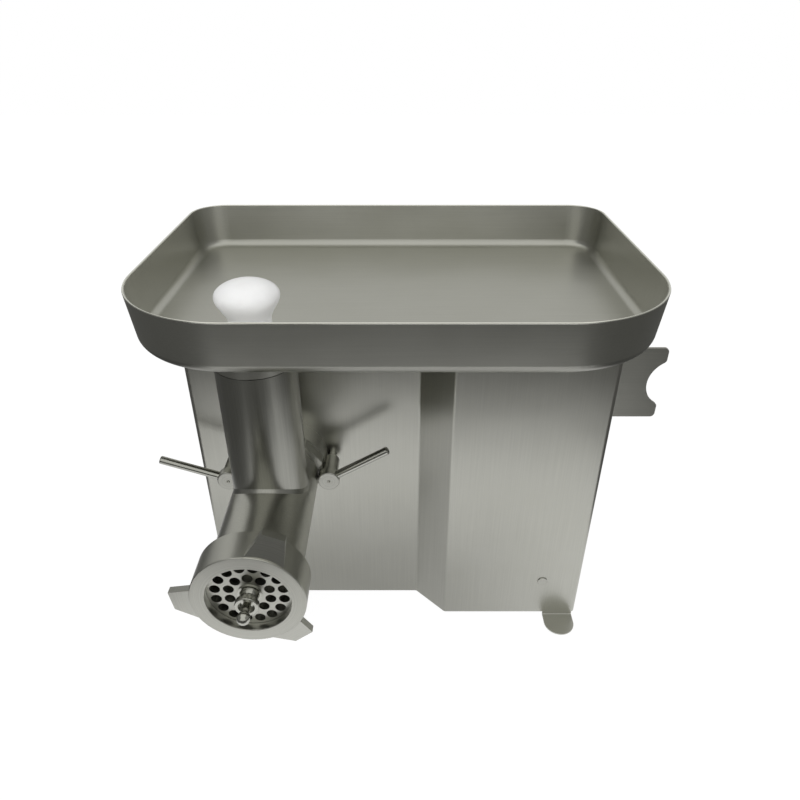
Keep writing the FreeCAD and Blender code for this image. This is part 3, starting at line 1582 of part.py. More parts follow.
def pusher_knob(neck, top):
    """Pear-shaped knob turned about the tube's axis, from its neck up to a flat dome."""
    widest = top - PUSHER_CROWN
    middle = (PUSHER_KNOB_RADIUS + PUSHER_NECK_RADIUS) / 2
    crown = math.radians(50)
    points = [
        Vector(PUSHER_NECK_RADIUS, 0, neck),
        Vector(middle, 0, (neck + widest) / 2),
        Vector(PUSHER_KNOB_RADIUS, 0, widest),
        Vector(PUSHER_KNOB_RADIUS * math.cos(crown), 0, widest + PUSHER_CROWN * math.sin(crown)),
        Vector(0, 0, top),
    ]
    side = Part.BSplineCurve()
    side.interpolate(points, InitialTangent=Vector(0, 0, 1), FinalTangent=Vector(-1, 0, 0))
    edges = [
        side.toShape(),
        Part.makeLine(points[-1], Vector(0, 0, neck)),
        Part.makeLine(Vector(0, 0, neck), points[0]),
    ]
    knob = Part.Face(Part.Wire(edges)).revolve(Vector(0, 0, 0), Vector(0, 0, 1), 360)
    knob.translate(Vector(AXIS_X, TUBE_Y, 0))
    return knob


def make_pusher():
    seat = TRAY_FLOOR + SEAT_GAP
    flange_top = seat + PUSHER_FLANGE
    top = flange_top + PUSHER_HEIGHT
    neck = top - PUSHER_CROWN - PUSHER_TAPER
    stem = turned_z(
        AXIS_X,
        TUBE_Y,
        [
            (0, seat - PUSHER_LENGTH, 0),
            (PUSHER_RADIUS, seat - PUSHER_LENGTH, PUSHER_EDGE),
            (PUSHER_RADIUS, seat, 0),
            (PUSHER_FLANGE_RADIUS, seat, PUSHER_EDGE),
            (PUSHER_FLANGE_RADIUS, flange_top, PUSHER_EDGE),
            (PUSHER_NECK_RADIUS, flange_top, PUSHER_NECK_FILLET),
            (PUSHER_NECK_RADIUS, neck, 0),
            (0, neck, 0),
        ],
    )
    return fused([stem, pusher_knob(neck, top)])


def main():
    os.makedirs("parts", exist_ok=True)
    left, right = clamp_centres()
    pieces = {
        "housing_shell": make_housing_shell(),
        "top_plate": make_top_plate(),
        "base_plate": make_base_plate(),
        "rear_panel": make_rear_panel(),
        "foot_tabs": make_foot_tabs(),
        "foot_pads": make_foot_pads(),
        "case_screws": make_case_screws(),
        "side_bracket": make_side_bracket(),
        "bracket_screws": make_bracket_screws(),
        "cable_gland": make_cable_gland(),
        "gland_nut": make_gland_nut(),
        "switch_housing": make_switch_housing(),
        "head_socket": make_head_socket(),
        "socket_screws": make_socket_screws(),
        "mount_studs": make_mount_studs(),
        "grinder_head": make_grinder_head(),
        "feed_tube": make_feed_tube(),
        "plate_key_pin": key_pin(0.0),
        "thrust_washer": ring_y(
            OUTPUT_AXIS,
            THRUST_WASHER_RADIUS,
            WORM_JOURNAL_RADIUS + RUNNING_FIT,
            HEAD_WALL_FRONT - THRUST_WASHER,
            HEAD_WALL_FRONT,
        ),
        "clamp_nut_left": clamp_nut(left, LEFT_ROD_ANGLE),
        "clamp_rod_left": clamp_rod(left, LEFT_ROD_ANGLE),
        "clamp_nut_right": clamp_nut(right, RIGHT_ROD_ANGLE),
        "clamp_rod_right": clamp_rod(right, RIGHT_ROD_ANGLE),
        "ring_nut": make_ring_nut(),
        "grinder_plate": make_grinder_plate(),
        "knife": make_knife(),
        "worm": make_worm(),
        "worm_stud": make_worm_stud(),
        "output_shaft": make_output_shaft(),
        "output_seal": make_output_seal(),
        "drive_nose": make_drive_nose(),
        "gearbox_case": make_gearbox_case(),
        "gearbox_cover": make_gearbox_cover(),
        "gearbox_bolts": make_gearbox_bolts(),
        "layshaft": rod_y(LAYSHAFT_AXIS, LAYSHAFT_RADIUS, CASE_FRONT, COVER_BACK),
        "motor_housing": make_motor_housing(),
        "stator_core": make_stator_core(),
        "stator_windings": make_stator_windings(),
        "motor_shield": make_motor_shield(),
        "motor_bolts": make_motor_bolts(),
        "rotor_shaft": make_rotor_shaft(),
        "rotor_core": make_rotor_core(),
        "cooling_fan": make_cooling_fan(),
        "fan_cowl": make_fan_cowl(),
        "run_capacitor": make_run_capacitor(),
        "capacitor_clamp": make_capacitor_clamp(),
        "tray": make_tray(),
        "tray_collar": make_tray_collar(),
        "pusher": make_pusher(),
    }
    pieces.update(make_gears())
    for name in bearing_seats():
        pieces[name] = make_bearings(name)
    for name, place in button_places().items():
        pieces[name] = make_button(*place)
    for name, shape in pieces.items():
        save(name, shape)


main()
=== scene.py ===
import json
import math

import bmesh
import bpy
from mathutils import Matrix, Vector


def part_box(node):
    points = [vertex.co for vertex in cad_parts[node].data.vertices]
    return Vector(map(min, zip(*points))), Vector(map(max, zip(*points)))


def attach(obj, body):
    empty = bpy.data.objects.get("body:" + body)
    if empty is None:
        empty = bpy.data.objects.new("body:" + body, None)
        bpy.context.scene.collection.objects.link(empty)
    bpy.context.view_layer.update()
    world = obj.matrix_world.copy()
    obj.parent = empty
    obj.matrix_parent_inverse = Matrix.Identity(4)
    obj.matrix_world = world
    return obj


# Looks of an electric meat grinder. Metres; +X right, +Y to the back, +Z up.

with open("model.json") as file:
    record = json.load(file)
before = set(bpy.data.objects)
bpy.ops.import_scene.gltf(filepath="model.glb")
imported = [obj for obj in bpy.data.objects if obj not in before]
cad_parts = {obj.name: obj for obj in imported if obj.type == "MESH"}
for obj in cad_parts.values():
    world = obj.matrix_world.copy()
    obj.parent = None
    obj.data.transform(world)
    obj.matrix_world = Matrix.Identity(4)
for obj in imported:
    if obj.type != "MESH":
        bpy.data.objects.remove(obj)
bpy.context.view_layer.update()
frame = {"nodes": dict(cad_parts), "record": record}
nodes = frame["nodes"]
scene = bpy.context.scene


def corners_of(node):
    """Low and high corner of the box round a CAD node."""
    return tuple(Vector(corner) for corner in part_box(node))


def middle_of(node):
    low, high = corners_of(node)
    return (low + high) / 2


# Camera, fitted to the photograph
IMAGE_PIXELS = 800
FOCAL_PIXELS = 649.57
SENSOR = 36.0
CAMERA_PLACE = (0.00307, -0.5569, 0.6208)
CAMERA_DOWN = 31.39
CLIP_START = 0.01

# Places read from the frame
HOUSING_LOW, HOUSING_HIGH = corners_of("housing_shell")
TRAY_LOW, TRAY_HIGH = corners_of("tray")
HEAD_AXIS = middle_of("grinder_plate")

# Noise: the range that its values mostly keep to, and the stretch along a grain
NOISE_LOW = 0.3
NOISE_HIGH = 0.7
NOISE_ROUGHNESS = 0.6
GRAIN_STRETCH = 0.012
EVEN = (1.0, 1.0, 1.0)
ALONG_X = (GRAIN_STRETCH, 1.0, 1.0)
ALONG_Y = (1.0, GRAIN_STRETCH, 1.0)
ALONG_Z = (1.0, 1.0, GRAIN_STRETCH)

# Steel
STEEL = (0.515, 0.515, 0.472)
GRAIN_PER_METRE = 900.0
RINGS_PER_METRE = 900.0
RING_WANDER = 0.3
CLOUDS_PER_METRE = 9.0
STAIN_STOPS = ((0.35, (0.95, 0.95, 0.94)), (0.65, (1.0, 1.0, 1.0)))
WAVES_PER_METRE = 12.0
WAVE_HEIGHT = 0.0006
# Painted shade on faces that look down: the Z of the normal where it starts and where it is full, and its
# tint
UNDERSIDE_SHADE_STARTS = 0.10
UNDERSIDE_SHADE_FULL = 0.30
UNDERSIDE_SHADE_TINT = (0.66, 0.66, 0.66, 1.0)

# Plastic
FINE_GRAIN_PER_METRE = 1400.0
FINE_GRAIN_DEPTH = 0.00003
PLASTIC_SPECULAR = 0.4
PLASTIC_CLOUDS_PER_METRE = 25.0
PLASTIC_TINTS = (0.93, 1.04)
MILKY_RADIUS = (1.0, 1.0, 0.98)
MILKY_DEPTH = 0.045

# Castings, windings and cores
CAST_COLOUR = (0.62, 0.63, 0.64)
CAST_ROUGH = (0.45, 0.60)
CAST_SKIN_PER_METRE = 650.0
CAST_SKIN_DEPTH = 0.0002
CAST_CLOUDS_PER_METRE = 14.0
CAST_TINTS = (0.85, 1.08)
WIRES_PER_METRE = 220.0
WIRE_STRETCH = (1, 8, 1)
WIRE_DEPTH = 0.0006
WIRE_STOPS = ((0.35, (0.28, 0.09, 0.03)), (0.65, (0.72, 0.32, 0.13)))
LAYERS_PER_METRE = 1500.0
LAYER_STRETCH = (0.02, 1, 0.02)
LAYER_DEPTH = 0.0002
LAYER_STOPS = ((0.4, (0.05, 0.05, 0.055)), (0.6, (0.22, 0.22, 0.23)))


# Node helpers


def new_material(name):
    material = bpy.data.materials.new(name)
    material.use_nodes = True
    tree = material.node_tree
    return material, tree, tree.nodes["Principled BSDF"]


def add_node(tree, kind, **settings):
    node = tree.nodes.new(kind)
    for key, value in settings.items():
        setattr(node, key, value)
    return node


def set_inputs(node, values):
    for name, value in values.items():
        node.inputs[name].default_value = value


def feed(tree, target, value):
    """Link target to a socket, or else set it to a constant."""
    if isinstance(value, bpy.types.NodeSocket):
        tree.links.new(value, target)
    else:
        target.default_value = value


def calculate(tree, operation, *values):
    node = add_node(tree, "ShaderNodeMath", operation=operation)
    for target, value in zip(node.inputs, values):
        feed(tree, target, value)
    return node.outputs[0]


def stretched_noise(tree, stretch, scale, detail):
    """Noise drawn out along the axis whose stretch is small."""
    coordinates = add_node(tree, "ShaderNodeTexCoord")
    mapping = add_node(tree, "ShaderNodeMapping")
    set_inputs(mapping, {"Scale": stretch})
    noise = add_node(tree, "ShaderNodeTexNoise")
    set_inputs(noise, {"Scale": scale, "Detail": detail, "Roughness": NOISE_ROUGHNESS})
    tree.links.new(coordinates.outputs["Object"], mapping.inputs["Vector"])
    tree.links.new(mapping.outputs["Vector"], noise.inputs["Vector"])
    return noise.outputs["Fac"]


def ramp(tree, value, stops):
    """Change between two colours, each given with its place on the ramp."""
    node = add_node(tree, "ShaderNodeValToRGB")
    for element, (place, colour) in zip(node.color_ramp.elements, stops):
        element.position = place
        element.color = (*colour, 1.0)
    tree.links.new(value, node.inputs["Fac"])
    return node.outputs["Color"]


def shade(colour, factor):
    return tuple(min(1.0, channel * factor) for channel in colour)


def tinted(tree, value, colour, darkest, lightest):
    """Colour that a noise varies between two shades of it."""
    return ramp(tree, value, [(NOISE_LOW, shade(colour, darkest)), (NOISE_HIGH, shade(colour, lightest))])


def spread(tree, value, limits):
    """Number that a noise varies between two limits."""
    node = add_node(tree, "ShaderNodeMapRange")
    set_inputs(node, {"From Min": NOISE_LOW, "From Max": NOISE_HIGH})
    set_inputs(node, {"To Min": limits[0], "To Max": limits[1]})
    tree.links.new(value, node.inputs["Value"])
    return node.outputs["Result"]


def multiplied(tree, share, colour, tint):
    """Colour times tint, as far as share says."""
    node = add_node(tree, "ShaderNodeMix", data_type="RGBA", blend_type="MULTIPLY")
    for socket, value in ((0, share), (6, colour), (7, tint)):
        feed(tree, node.inputs[socket], value)
    return node.outputs[2]


def bump(tree, height, distance, strength=1.0):
    node = add_node(tree, "ShaderNodeBump")
    set_inputs(node, {"Distance": distance, "Strength": strength})
    tree.links.new(height, node.inputs["Height"])
    return node.outputs["Normal"]


def along_axis(tree, output, axis):
    """One component of the place or the normal of the point being shaded."""
    geometry = add_node(tree, "ShaderNodeNewGeometry")
    split = add_node(tree, "ShaderNodeSeparateXYZ")
    tree.links.new(geometry.outputs[output], split.inputs[0])
    return split.outputs[axis]


# Materials


def lathe_rings(tree, centre, wander):
    """Fine rings about the Y axis through centre, as a turning tool leaves them."""
    coordinates = add_node(tree, "ShaderNodeTexCoord")
    from_axis = add_node(tree, "ShaderNodeVectorMath", operation="SUBTRACT")
    from_axis.inputs[1].default_value = centre
    flat = add_node(tree, "ShaderNodeVectorMath", operation="MULTIPLY")
    flat.inputs[1].default_value = (1, 0, 1)
    radius = add_node(tree, "ShaderNodeVectorMath", operation="LENGTH")
    noise = add_node(tree, "ShaderNodeTexNoise", noise_dimensions="1D")
    set_inputs(noise, {"Scale": RINGS_PER_METRE})
    tree.links.new(coordinates.outputs["Object"], from_axis.inputs[0])
    tree.links.new(from_axis.outputs[0], flat.inputs[0])
    tree.links.new(flat.outputs[0], radius.inputs[0])
    tree.links.new(radius.outputs["Value"], noise.inputs["W"])
    wandering = calculate(tree, "MULTIPLY_ADD", wander, RING_WANDER, noise.outputs["Fac"])
    return calculate(tree, "SUBTRACT", wandering, RING_WANDER / 2)


def brushed_steel(name, factor, stretch, rough, contrast, rings=None):
    """Steel with grain along the small axis of stretch, soft stains and, on turned work, lathe rings."""
    material, tree, shader = new_material(name)
    grain = stretched_noise(tree, stretch, GRAIN_PER_METRE, detail=2.0)
    clouds = stretched_noise(tree, EVEN, CLOUDS_PER_METRE, detail=4.0)
    if rings:
        grain = lathe_rings(tree, rings, grain)
    grain_colour = tinted(tree, grain, shade(STEEL, factor), 1 - contrast, 1 + contrast)
    stain = ramp(tree, clouds, STAIN_STOPS)
    tree.links.new(multiplied(tree, 1.0, grain_colour, stain), shader.inputs["Base Color"])
    set_inputs(shader, {"Metallic": 1.0})
    tree.links.new(spread(tree, clouds, rough), shader.inputs["Roughness"])
    waves = stretched_noise(tree, EVEN, WAVES_PER_METRE, detail=1.0)
    tree.links.new(bump(tree, waves, WAVE_HEIGHT), shader.inputs["Normal"])
    return material


def paint_underside_shade(material):
    """Darken the faces that look down, as painted shade on the tray's underside and lower bend."""
    tree = material.node_tree
    base = tree.nodes["Principled BSDF"].inputs["Base Color"]
    down = add_node(tree, "ShaderNodeMapRange")
    set_inputs(down, {"From Min": -UNDERSIDE_SHADE_STARTS, "From Max": -UNDERSIDE_SHADE_FULL})
    tree.links.new(along_axis(tree, "Normal", "Z"), down.inputs["Value"])
    steel = base.links[0].from_socket
    tree.links.new(multiplied(tree, down.outputs["Result"], steel, UNDERSIDE_SHADE_TINT), base)


def moulded_plastic(
    name, colour, rough, grain=FINE_GRAIN_PER_METRE, depth=FINE_GRAIN_DEPTH, specular=PLASTIC_SPECULAR
):
    material, tree, shader = new_material(name)
    fine = stretched_noise(tree, EVEN, grain, detail=2.0)
    clouds = stretched_noise(tree, EVEN, PLASTIC_CLOUDS_PER_METRE, detail=3.0)
    tree.links.new(tinted(tree, clouds, colour, *PLASTIC_TINTS), shader.inputs["Base Color"])
    tree.links.new(spread(tree, clouds, rough), shader.inputs["Roughness"])
    tree.links.new(bump(tree, fine, depth, strength=0.6), shader.inputs["Normal"])
    set_inputs(shader, {"Specular IOR Level": specular})
    return material


def let_light_in(material):
    """Make a plastic milky: light goes in and comes out again near by."""
    shader = material.node_tree.nodes["Principled BSDF"]
    set_inputs(shader, {"Subsurface Weight": 1.0, "Subsurface Radius": MILKY_RADIUS})
    set_inputs(shader, {"Subsurface Scale": MILKY_DEPTH})


def cast_aluminium():
    material, tree, shader = new_material("cast_aluminium")
    skin = stretched_noise(tree, EVEN, CAST_SKIN_PER_METRE, detail=3.0)
    clouds = stretched_noise(tree, EVEN, CAST_CLOUDS_PER_METRE, detail=3.0)
    tree.links.new(tinted(tree, clouds, CAST_COLOUR, *CAST_TINTS), shader.inputs["Base Color"])
    set_inputs(shader, {"Metallic": 1.0})
    tree.links.new(spread(tree, skin, CAST_ROUGH), shader.inputs["Roughness"])
    tree.links.new(bump(tree, skin, CAST_SKIN_DEPTH, strength=0.5), shader.inputs["Normal"])
    return material


def wound_copper():
    material, tree, shader = new_material("wound_copper")
    wires = stretched_noise(tree, WIRE_STRETCH, WIRES_PER_METRE, detail=2.0)
    tree.links.new(ramp(tree, wires, WIRE_STOPS), shader.inputs["Base Color"])
    set_inputs(shader, {"Metallic": 0.9, "Roughness": 0.35})
    tree.links.new(bump(tree, wires, WIRE_DEPTH, strength=0.8), shader.inputs["Normal"])
    return material


def laminations():
    material, tree, shader = new_material("laminations")
    layers = stretched_noise(tree, LAYER_STRETCH, LAYERS_PER_METRE, detail=1.0)
    tree.links.new(ramp(tree, layers, LAYER_STOPS), shader.inputs["Base Color"])
    set_inputs(shader, {"Metallic": 0.9, "Roughness": 0.45})
    tree.links.new(bump(tree, layers, LAYER_DEPTH, strength=0.6), shader.inputs["Normal"])
    return material


# Steel by slot: shade of the base colour, grain, range of roughness, contrast, centre of lathe rings
STEELS = {
    "housing_steel": (0.98, ALONG_Z, (0.285, 0.325), 0.035),
    "bracket_steel": (0.85, ALONG_X, (0.40, 0.48), 0.04),
    "tray_steel": (1.0, ALONG_X, (0.31, 0.36), 0.03),
    "head_steel": (1.0, ALONG_Z, (0.285, 0.335), 0.06),
    "ring_steel": (1.0, EVEN, (0.30, 0.36), 0.05, HEAD_AXIS),
    "plate_steel": (1.0, EVEN, (0.285, 0.32), 0.04, HEAD_AXIS),
    "turned_steel": (0.95, EVEN, (0.14, 0.20), 0.05),
    "worm_steel": (0.95, EVEN, (0.29, 0.36), 0.08),
    "fastener_steel": (0.95, EVEN, (0.29, 0.34), 0.06),
    "gear_steel": (0.85, ALONG_Y, (0.29, 0.38), 0.10),
    "strap_steel": (0.80, ALONG_X, (0.40, 0.48), 0.06),
}

# Steel of single nodes, in the same order; the knife's and the feed tube's are darkened as painted shade
OWN_STEELS = {
    "clamp_nut_left": (0.85, EVEN, (0.285, 0.32), 0.12, middle_of("clamp_nut_left")),
    "clamp_nut_right": (0.85, EVEN, (0.285, 0.32), 0.12, middle_of("clamp_nut_right")),
    # painted shade: the knife is darkened to stand in for the dark inside the head, seen through the
    # plate's holes
    "knife": (0.40, EVEN, (0.36, 0.44), 0.10),
    # painted shade: the feed tube is the head's steel darkened, to stand in for its darker reflections
    "feed_tube": (0.74, ALONG_Z, (0.285, 0.335), 0.07),
}

# Plastic by slot: colour, range of roughness and, where they differ, grain, its depth and the shine
PLASTICS = {
    "pusher_white": ((0.90, 0.90, 0.89), (0.30, 0.42), 500.0, 0.00002),
    "washer_nylon": ((0.80, 0.79, 0.72), (0.35, 0.45)),
    "black_rubber": ((0.022, 0.022, 0.022), (0.65, 0.80), 900.0, 0.0001, 0.2),
    "black_plastic": ((0.03, 0.03, 0.032), (0.40, 0.52), 1200.0, 0.00008),
    "start_green": ((0.02, 0.30, 0.08), (0.22, 0.32)),
    "stop_red": ((0.50, 0.02, 0.02), (0.22, 0.32)),
    "capacitor_grey": ((0.30, 0.31, 0.32), (0.30, 0.40)),
}


def make_looks():
    """Materials by slot."""
    looks = {slot: brushed_steel(slot, *finish) for slot, finish in STEELS.items()}
    looks.update({slot: moulded_plastic(slot, *finish) for slot, finish in PLASTICS.items()})
    looks["cast_aluminium"] = cast_aluminium()
    looks["core_iron"] = laminations()
    looks["winding_copper"] = wound_copper()
    # painted shade on the tray's downward faces
    paint_underside_shade(looks["tray_steel"])
    let_light_in(looks["pusher_white"])
    return looks


def dress_nodes():
    """Give every CAD node its own steel where it has one, or else the finish of its slot; the knife's and
    the feed tube's own steel is darkened as painted shade.
    """
    looks = make_looks()
    own_looks = {node: brushed_steel(node + "_own_steel", *finish) for node, finish in OWN_STEELS.items()}
    for subpart in frame["record"]["subparts"]:
        node = subpart["node"]
        mesh = nodes[node].data
        mesh.materials.clear()
        mesh.materials.append(own_looks.get(node) or looks[subpart["material_slot"]])


dress_nodes()


# Fine details that the solids leave out

RIM_BEAD_RADIUS = 0.0008
RIM_BEAD_STEPS = 2
# Bead steel: polished, with low roughness, and a base colour 1.6 times the steel's as a painted highlight
RIM_BEAD_HIGHLIGHT_STEEL = (1.6, EVEN, (0.16, 0.22), 0.03)
RIM_TOLERANCE = 0.0002
POINT_DIGITS = 6
MARK_PAINT = ((0.80, 0.80, 0.78), (0.40, 0.50))
MARK_HEIGHT = 0.0004
MARK_SINK = 0.0002
MARK_RADIUS = 0.0046
MARK_STROKE = 0.0014
ROUND_STEPS = 32


def rim_loop():
    """Points of the tray's outer top edge in order, found on the walls that reach it."""
    mesh = nodes["tray"].data
    top = TRAY_HIGH.z - RIM_TOLERANCE
    neighbours = {}
    for polygon in mesh.polygons:
        corners = [mesh.vertices[index].co for index in polygon.vertices]
        upper = [
            tuple(round(value, POINT_DIGITS) for value in corner) for corner in corners if corner.z > top
        ]
        if len(upper) == 2:
            neighbours.setdefault(upper[0], set()).add(upper[1])
            neighbours.setdefault(upper[1], set()).add(upper[0])
    loop = [max(neighbours)]
    while True:
        ahead = [point for point in neighbours[loop[-1]] if point not in loop]
        if not ahead:
            return loop
        loop.append(ahead[0])


def make_rim_bead():
    """Polished edge of the tray: a thin bead along its rim, its steel brighter than the rest as a painted
    highlight.
    """
    curve = bpy.data.curves.new("tray_rim_bead", "CURVE")
    curve.dimensions = "3D"
    curve.bevel_depth = RIM_BEAD_RADIUS
    curve.bevel_resolution = RIM_BEAD_STEPS
    points = rim_loop()
    spline = curve.splines.new("POLY")
    spline.points.add(len(points) - 1)
    middle = (TRAY_LOW + TRAY_HIGH) / 2
    inset = 1 - 2 * RIM_BEAD_RADIUS / (TRAY_HIGH.x - TRAY_LOW.x)
    for target, (x, y, z) in zip(spline.points, points):
        target.co = (middle.x + (x - middle.x) * inset, middle.y + (y - middle.y) * inset, z, 1)
    spline.use_cyclic_u = True
    # bright steel as a painted highlight along the rim
    curve.materials.append(brushed_steel("polished_edge_painted_highlight", *RIM_BEAD_HIGHLIGHT_STEEL))
    bead = bpy.data.objects.new("tray_rim_bead", curve)
    scene.collection.objects.link(bead)
    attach(bead, "tray")


def arc_points(centre, radius, start, end, steps):
    turns = [math.radians(start + (end - start) * step / steps) for step in range(steps + 1)]
    return [(centre[0] + radius * math.cos(t), centre[1] + radius * math.sin(t)) for t in turns]


def raised_mark(button, outline, hole):
    """Painted mark raised on a button's face: a closed outline in Y and Z, with or without a hole."""
    face_x = corners_of(button)[1].x
    middle = middle_of(button)
    shape = bmesh.new()
    loops = []
    for points in (outline, hole):
        for level in (face_x - MARK_SINK, face_x + MARK_HEIGHT):
            loops.append([shape.verts.new((level, middle.y + y, middle.z + z)) for y, z in points])
    outer_base, outer_face, hole_base, hole_face = loops
    bands = [(outer_base, outer_face), (hole_face, hole_base)]
    if hole:
        bands += [(outer_face, hole_face), (hole_base, outer_base)]
    else:
        shape.faces.new(outer_face)
        shape.faces.new(list(reversed(outer_base)))
    for first, second in bands:
        for index in range(len(first)):
            after = (index + 1) % len(first)
            shape.faces.new((first[index], first[after], second[after], second[index]))
    bmesh.ops.recalc_face_normals(shape, faces=shape.faces)
    mesh = bpy.data.meshes.new(button + "_mark")
    shape.to_mesh(mesh)
    shape.free()
    mesh.materials.append(moulded_plastic("mark_paint", *MARK_PAINT))
    mark = bpy.data.objects.new(button + "_mark", mesh)
    scene.collection.objects.link(mark)
    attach(mark, button)


def mark_buttons():
    """A bar for start and a ring for stop."""
    half = MARK_STROKE / 2
    end = MARK_RADIUS - half
    bar = arc_points((0, end), half, 0, 180, ROUND_STEPS // 4)
    bar += arc_points((0, -end), half, 180, 360, ROUND_STEPS // 4)
    raised_mark("start_button", bar, [])
    ring = arc_points((0, 0), MARK_RADIUS, 0, 360, ROUND_STEPS)[:-1]
    ring_hole = arc_points((0, 0), MARK_RADIUS - MARK_STROKE, 0, 360, ROUND_STEPS)[:-1]
    raised_mark("stop_button", ring, ring_hole)


make_rim_bead()
mark_buttons()


# Stage: floor, cards that only reflections see, soft lamps and the camera

WHITE = (1, 1, 1, 1)
AMBIENT = 0.55
FLOOR_SIZE = (8, 8)
FLOOR_COLOUR = (0.90, 0.90, 0.90, 1)
FLOOR_WHITE = 1.10
FLOOR_GLOW = 0.86
FLOOR_GLOW_MIRRORED = 0.60
FLAG_LIFT = 0.002
DARK_FLOOR = 0.10
CARD_BLUE = 0.97
SHEET_HALF_WIDTH = 0.325
SHEET_MIDDLE = 0.60
SHEET_HALF_DEPTH = 1.01
SHEET_SOFT_EDGE = 0.10
FOOT_SHADE = 0.42
FOOT_SHADE_REACH = 0.24
LYING = (0, 0, 0)
ACROSS = (90, 0, 0)
ALONGSIDE = (0, 90, 0)

# Cards: centre, size, turn in degrees and level of light
CARDS = {
    "rear_flag": ((0, 1.9, 1.6), (5.0, 3.2), ACROSS, 0.65),
    "room_flag": ((0, -2.6, 1.9), (6.0, 2.6), ACROSS, 0.80),
    "low_flag": ((0, -2.6, 0.3), (6.0, 0.6), ACROSS, DARK_FLOOR),
    "left_flag": ((-2.4, -0.3, 1.6), (3.2, 5.0), ALONGSIDE, 0.20),
    "right_flag": ((2.4, -0.3, 1.6), (3.2, 5.0), ALONGSIDE, 0.30),
    "ceiling_flag": ((0, 0, 3.2), (6.0, 6.0), LYING, 0.85),
}

# Lamps: place, aim, size and watts
LAMPS = {
    "key": ((-0.9, -0.9, 1.7), (0, 0, 0.2), (1.0, 1.0), 2.5),
    "fill": ((1.3, -0.5, 1.2), (0, 0, 0.2), (0.9, 0.9), 1.8),
    "back": ((0.2, 1.3, 1.5), (0, 0, 0.3), (1.2, 0.6), 1.2),
    "front": ((-0.1, -0.8, 0.95), (-0.1, -0.05, 0.4), (0.5, 0.3), 4.0),
}


def stage_plane(name, centre, size, turn, material, camera_sees=False):
    half_x, half_y = size[0] / 2, size[1] / 2
    signs = ((-1, -1), (1, -1), (1, 1), (-1, 1))
    mesh = bpy.data.meshes.new(name)
    mesh.from_pydata([(half_x * x, half_y * y, 0) for x, y in signs], [], [(0, 1, 2, 3)])
    mesh.materials.append(material)
    plane = bpy.data.objects.new(name, mesh)
    plane.location = centre
    plane.rotation_euler = [math.radians(angle) for angle in turn]
    scene.collection.objects.link(plane)
    if not camera_sees:
        plane.visible_camera = False
        plane.visible_diffuse = False
        plane.visible_shadow = False


def emission(tree, colour, strength=1.0):
    node = add_node(tree, "ShaderNodeEmission")
    set_inputs(node, {"Color": colour, "Strength": strength})
    return node.outputs[0]


def mixed_shader(tree, share, first, second):
    node = add_node(tree, "ShaderNodeMixShader")
    for target, socket in zip(node.inputs, (share, first, second)):
        tree.links.new(socket, target)
    return node.outputs[0]


def floor_material():
    """Pale floor mixed with white light, most for the eye's own rays and less for reflections of it."""
    material, tree, shader = new_material("pale_floor")
    set_inputs(shader, {"Base Color": FLOOR_COLOUR, "Roughness": 0.9, "Specular IOR Level": 0.1})
    path = add_node(tree, "ShaderNodeLightPath").outputs
    mirrored = calculate(tree, "MAXIMUM", path["Is Glossy Ray"], path["Is Transmission Ray"])
    dimmed = calculate(tree, "MULTIPLY", mirrored, FLOOR_GLOW_MIRRORED)
    share = calculate(tree, "MULTIPLY_ADD", path["Is Camera Ray"], FLOOR_GLOW, dimmed)
    surface = mixed_shader(tree, share, shader.outputs[0], emission(tree, WHITE, FLOOR_WHITE))
    tree.links.new(surface, tree.nodes["Material Output"].inputs["Surface"])
    return material


def card_light(tree, level):
    return emission(tree, (level, level, level * CARD_BLUE, 1))


def card_material(name, level):
    material, tree, shader = new_material(name)
    tree.nodes.remove(shader)
    tree.links.new(card_light(tree, level), tree.nodes["Material Output"].inputs["Surface"])
    return material


def outside_span(tree, axis, centre, reach):
    """How far a point lies outside a span along one axis; below zero inside it."""
    shifted = calculate(tree, "SUBTRACT", along_axis(tree, "Position", axis), centre)
    return calculate(tree, "SUBTRACT", calculate(tree, "ABSOLUTE", shifted), reach)


def fade(tree, spans, reach, inner, outer):
    """Smooth change from inner to outer over reach, beyond a rectangle given by its two spans."""
    far = calculate(tree, "MAXIMUM", *(outside_span(tree, *span) for span in spans))
    change = add_node(tree, "ShaderNodeMapRange", interpolation_type="SMOOTHSTEP")
    set_inputs(change, {"From Max": reach, "To Min": inner, "To Max": outer})
    tree.links.new(far, change.inputs["Value"])
    return change.outputs["Result"]


def floor_flag_material():
    """Dark floor round a pale sheet, with the shade behind the head; only reflections see it."""
    material, tree, shader = new_material("floor_flag")
    tree.nodes.remove(shader)
    sheet = (("X", 0.0, SHEET_HALF_WIDTH), ("Y", SHEET_MIDDLE, SHEET_HALF_DEPTH))
    middle = (HOUSING_LOW + HOUSING_HIGH) / 2
    half = (HOUSING_HIGH - HOUSING_LOW) / 2
    foot = (("X", middle.x - half.x / 2, half.x / 2), ("Y", middle.y, half.y))
    round_sheet = fade(tree, sheet, SHEET_SOFT_EDGE, 0.0, 1.0)
    at_foot = fade(tree, foot, FOOT_SHADE_REACH, FOOT_SHADE, 0.0)
    dark = calculate(tree, "MAXIMUM", round_sheet, at_foot)
    clear = add_node(tree, "ShaderNodeBsdfTransparent")
    surface = mixed_shader(tree, dark, clear.outputs[0], card_light(tree, DARK_FLOOR))
    tree.links.new(surface, tree.nodes["Material Output"].inputs["Surface"])
    return material


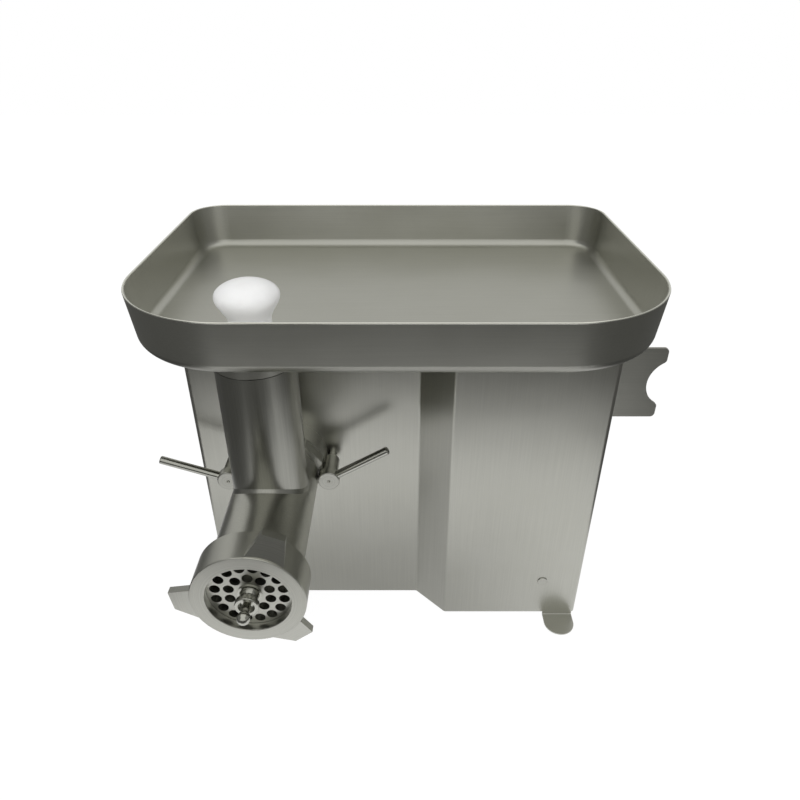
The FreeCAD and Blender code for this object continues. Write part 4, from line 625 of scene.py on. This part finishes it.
def soft_lamp(name, place, target, size, power):
    """Area lamp that lights matt surfaces and shows in no reflection."""
    light = bpy.data.lights.new(name, "AREA")
    light.shape = "RECTANGLE"
    light.size, light.size_y = size
    light.energy = power
    lamp = bpy.data.objects.new(name, light)
    lamp.location = place
    aim = Vector(target) - Vector(place)
    lamp.rotation_euler = aim.to_track_quat("-Z", "Y").to_euler()
    lamp.visible_glossy = False
    scene.collection.objects.link(lamp)


def white_world():
    """White to the eye and in reflections, dimmer as light on matt surfaces."""
    world = bpy.data.worlds.new("studio")
    world.use_nodes = True
    scene.world = world
    tree = world.node_tree
    soft = tree.nodes["Background"]
    set_inputs(soft, {"Color": WHITE, "Strength": AMBIENT})
    white = add_node(tree, "ShaderNodeBackground")
    set_inputs(white, {"Color": WHITE, "Strength": 1.0})
    path = add_node(tree, "ShaderNodeLightPath").outputs
    direct = calculate(tree, "MAXIMUM", path["Is Camera Ray"], path["Is Transmission Ray"])
    seen = calculate(tree, "MAXIMUM", direct, path["Is Glossy Ray"])
    surface = mixed_shader(tree, seen, soft.outputs[0], white.outputs[0])
    tree.links.new(surface, tree.nodes["World Output"].inputs["Surface"])


def place_camera():
    data = bpy.data.cameras.new("camera")
    data.sensor_width = SENSOR
    data.lens = SENSOR * FOCAL_PIXELS / IMAGE_PIXELS
    data.clip_start = CLIP_START
    camera = bpy.data.objects.new("camera", data)
    camera.location = CAMERA_PLACE
    camera.rotation_euler = (math.radians(90 - CAMERA_DOWN), 0, 0)
    scene.collection.objects.link(camera)
    scene.camera = camera


def light_stage():
    scene.view_settings.view_transform = "Standard"
    white_world()
    stage_plane("floor", (0, 0, 0), FLOOR_SIZE, LYING, floor_material(), camera_sees=True)
    stage_plane("floor_flag", (0, 0, FLAG_LIFT), FLOOR_SIZE, LYING, floor_flag_material())
    for name, (centre, size, turn, level) in CARDS.items():
        stage_plane(name, centre, size, turn, card_material(name, level))
    for name, (place, target, size, power) in LAMPS.items():
        soft_lamp(name, place, target, size, power)


light_stage()
place_camera()
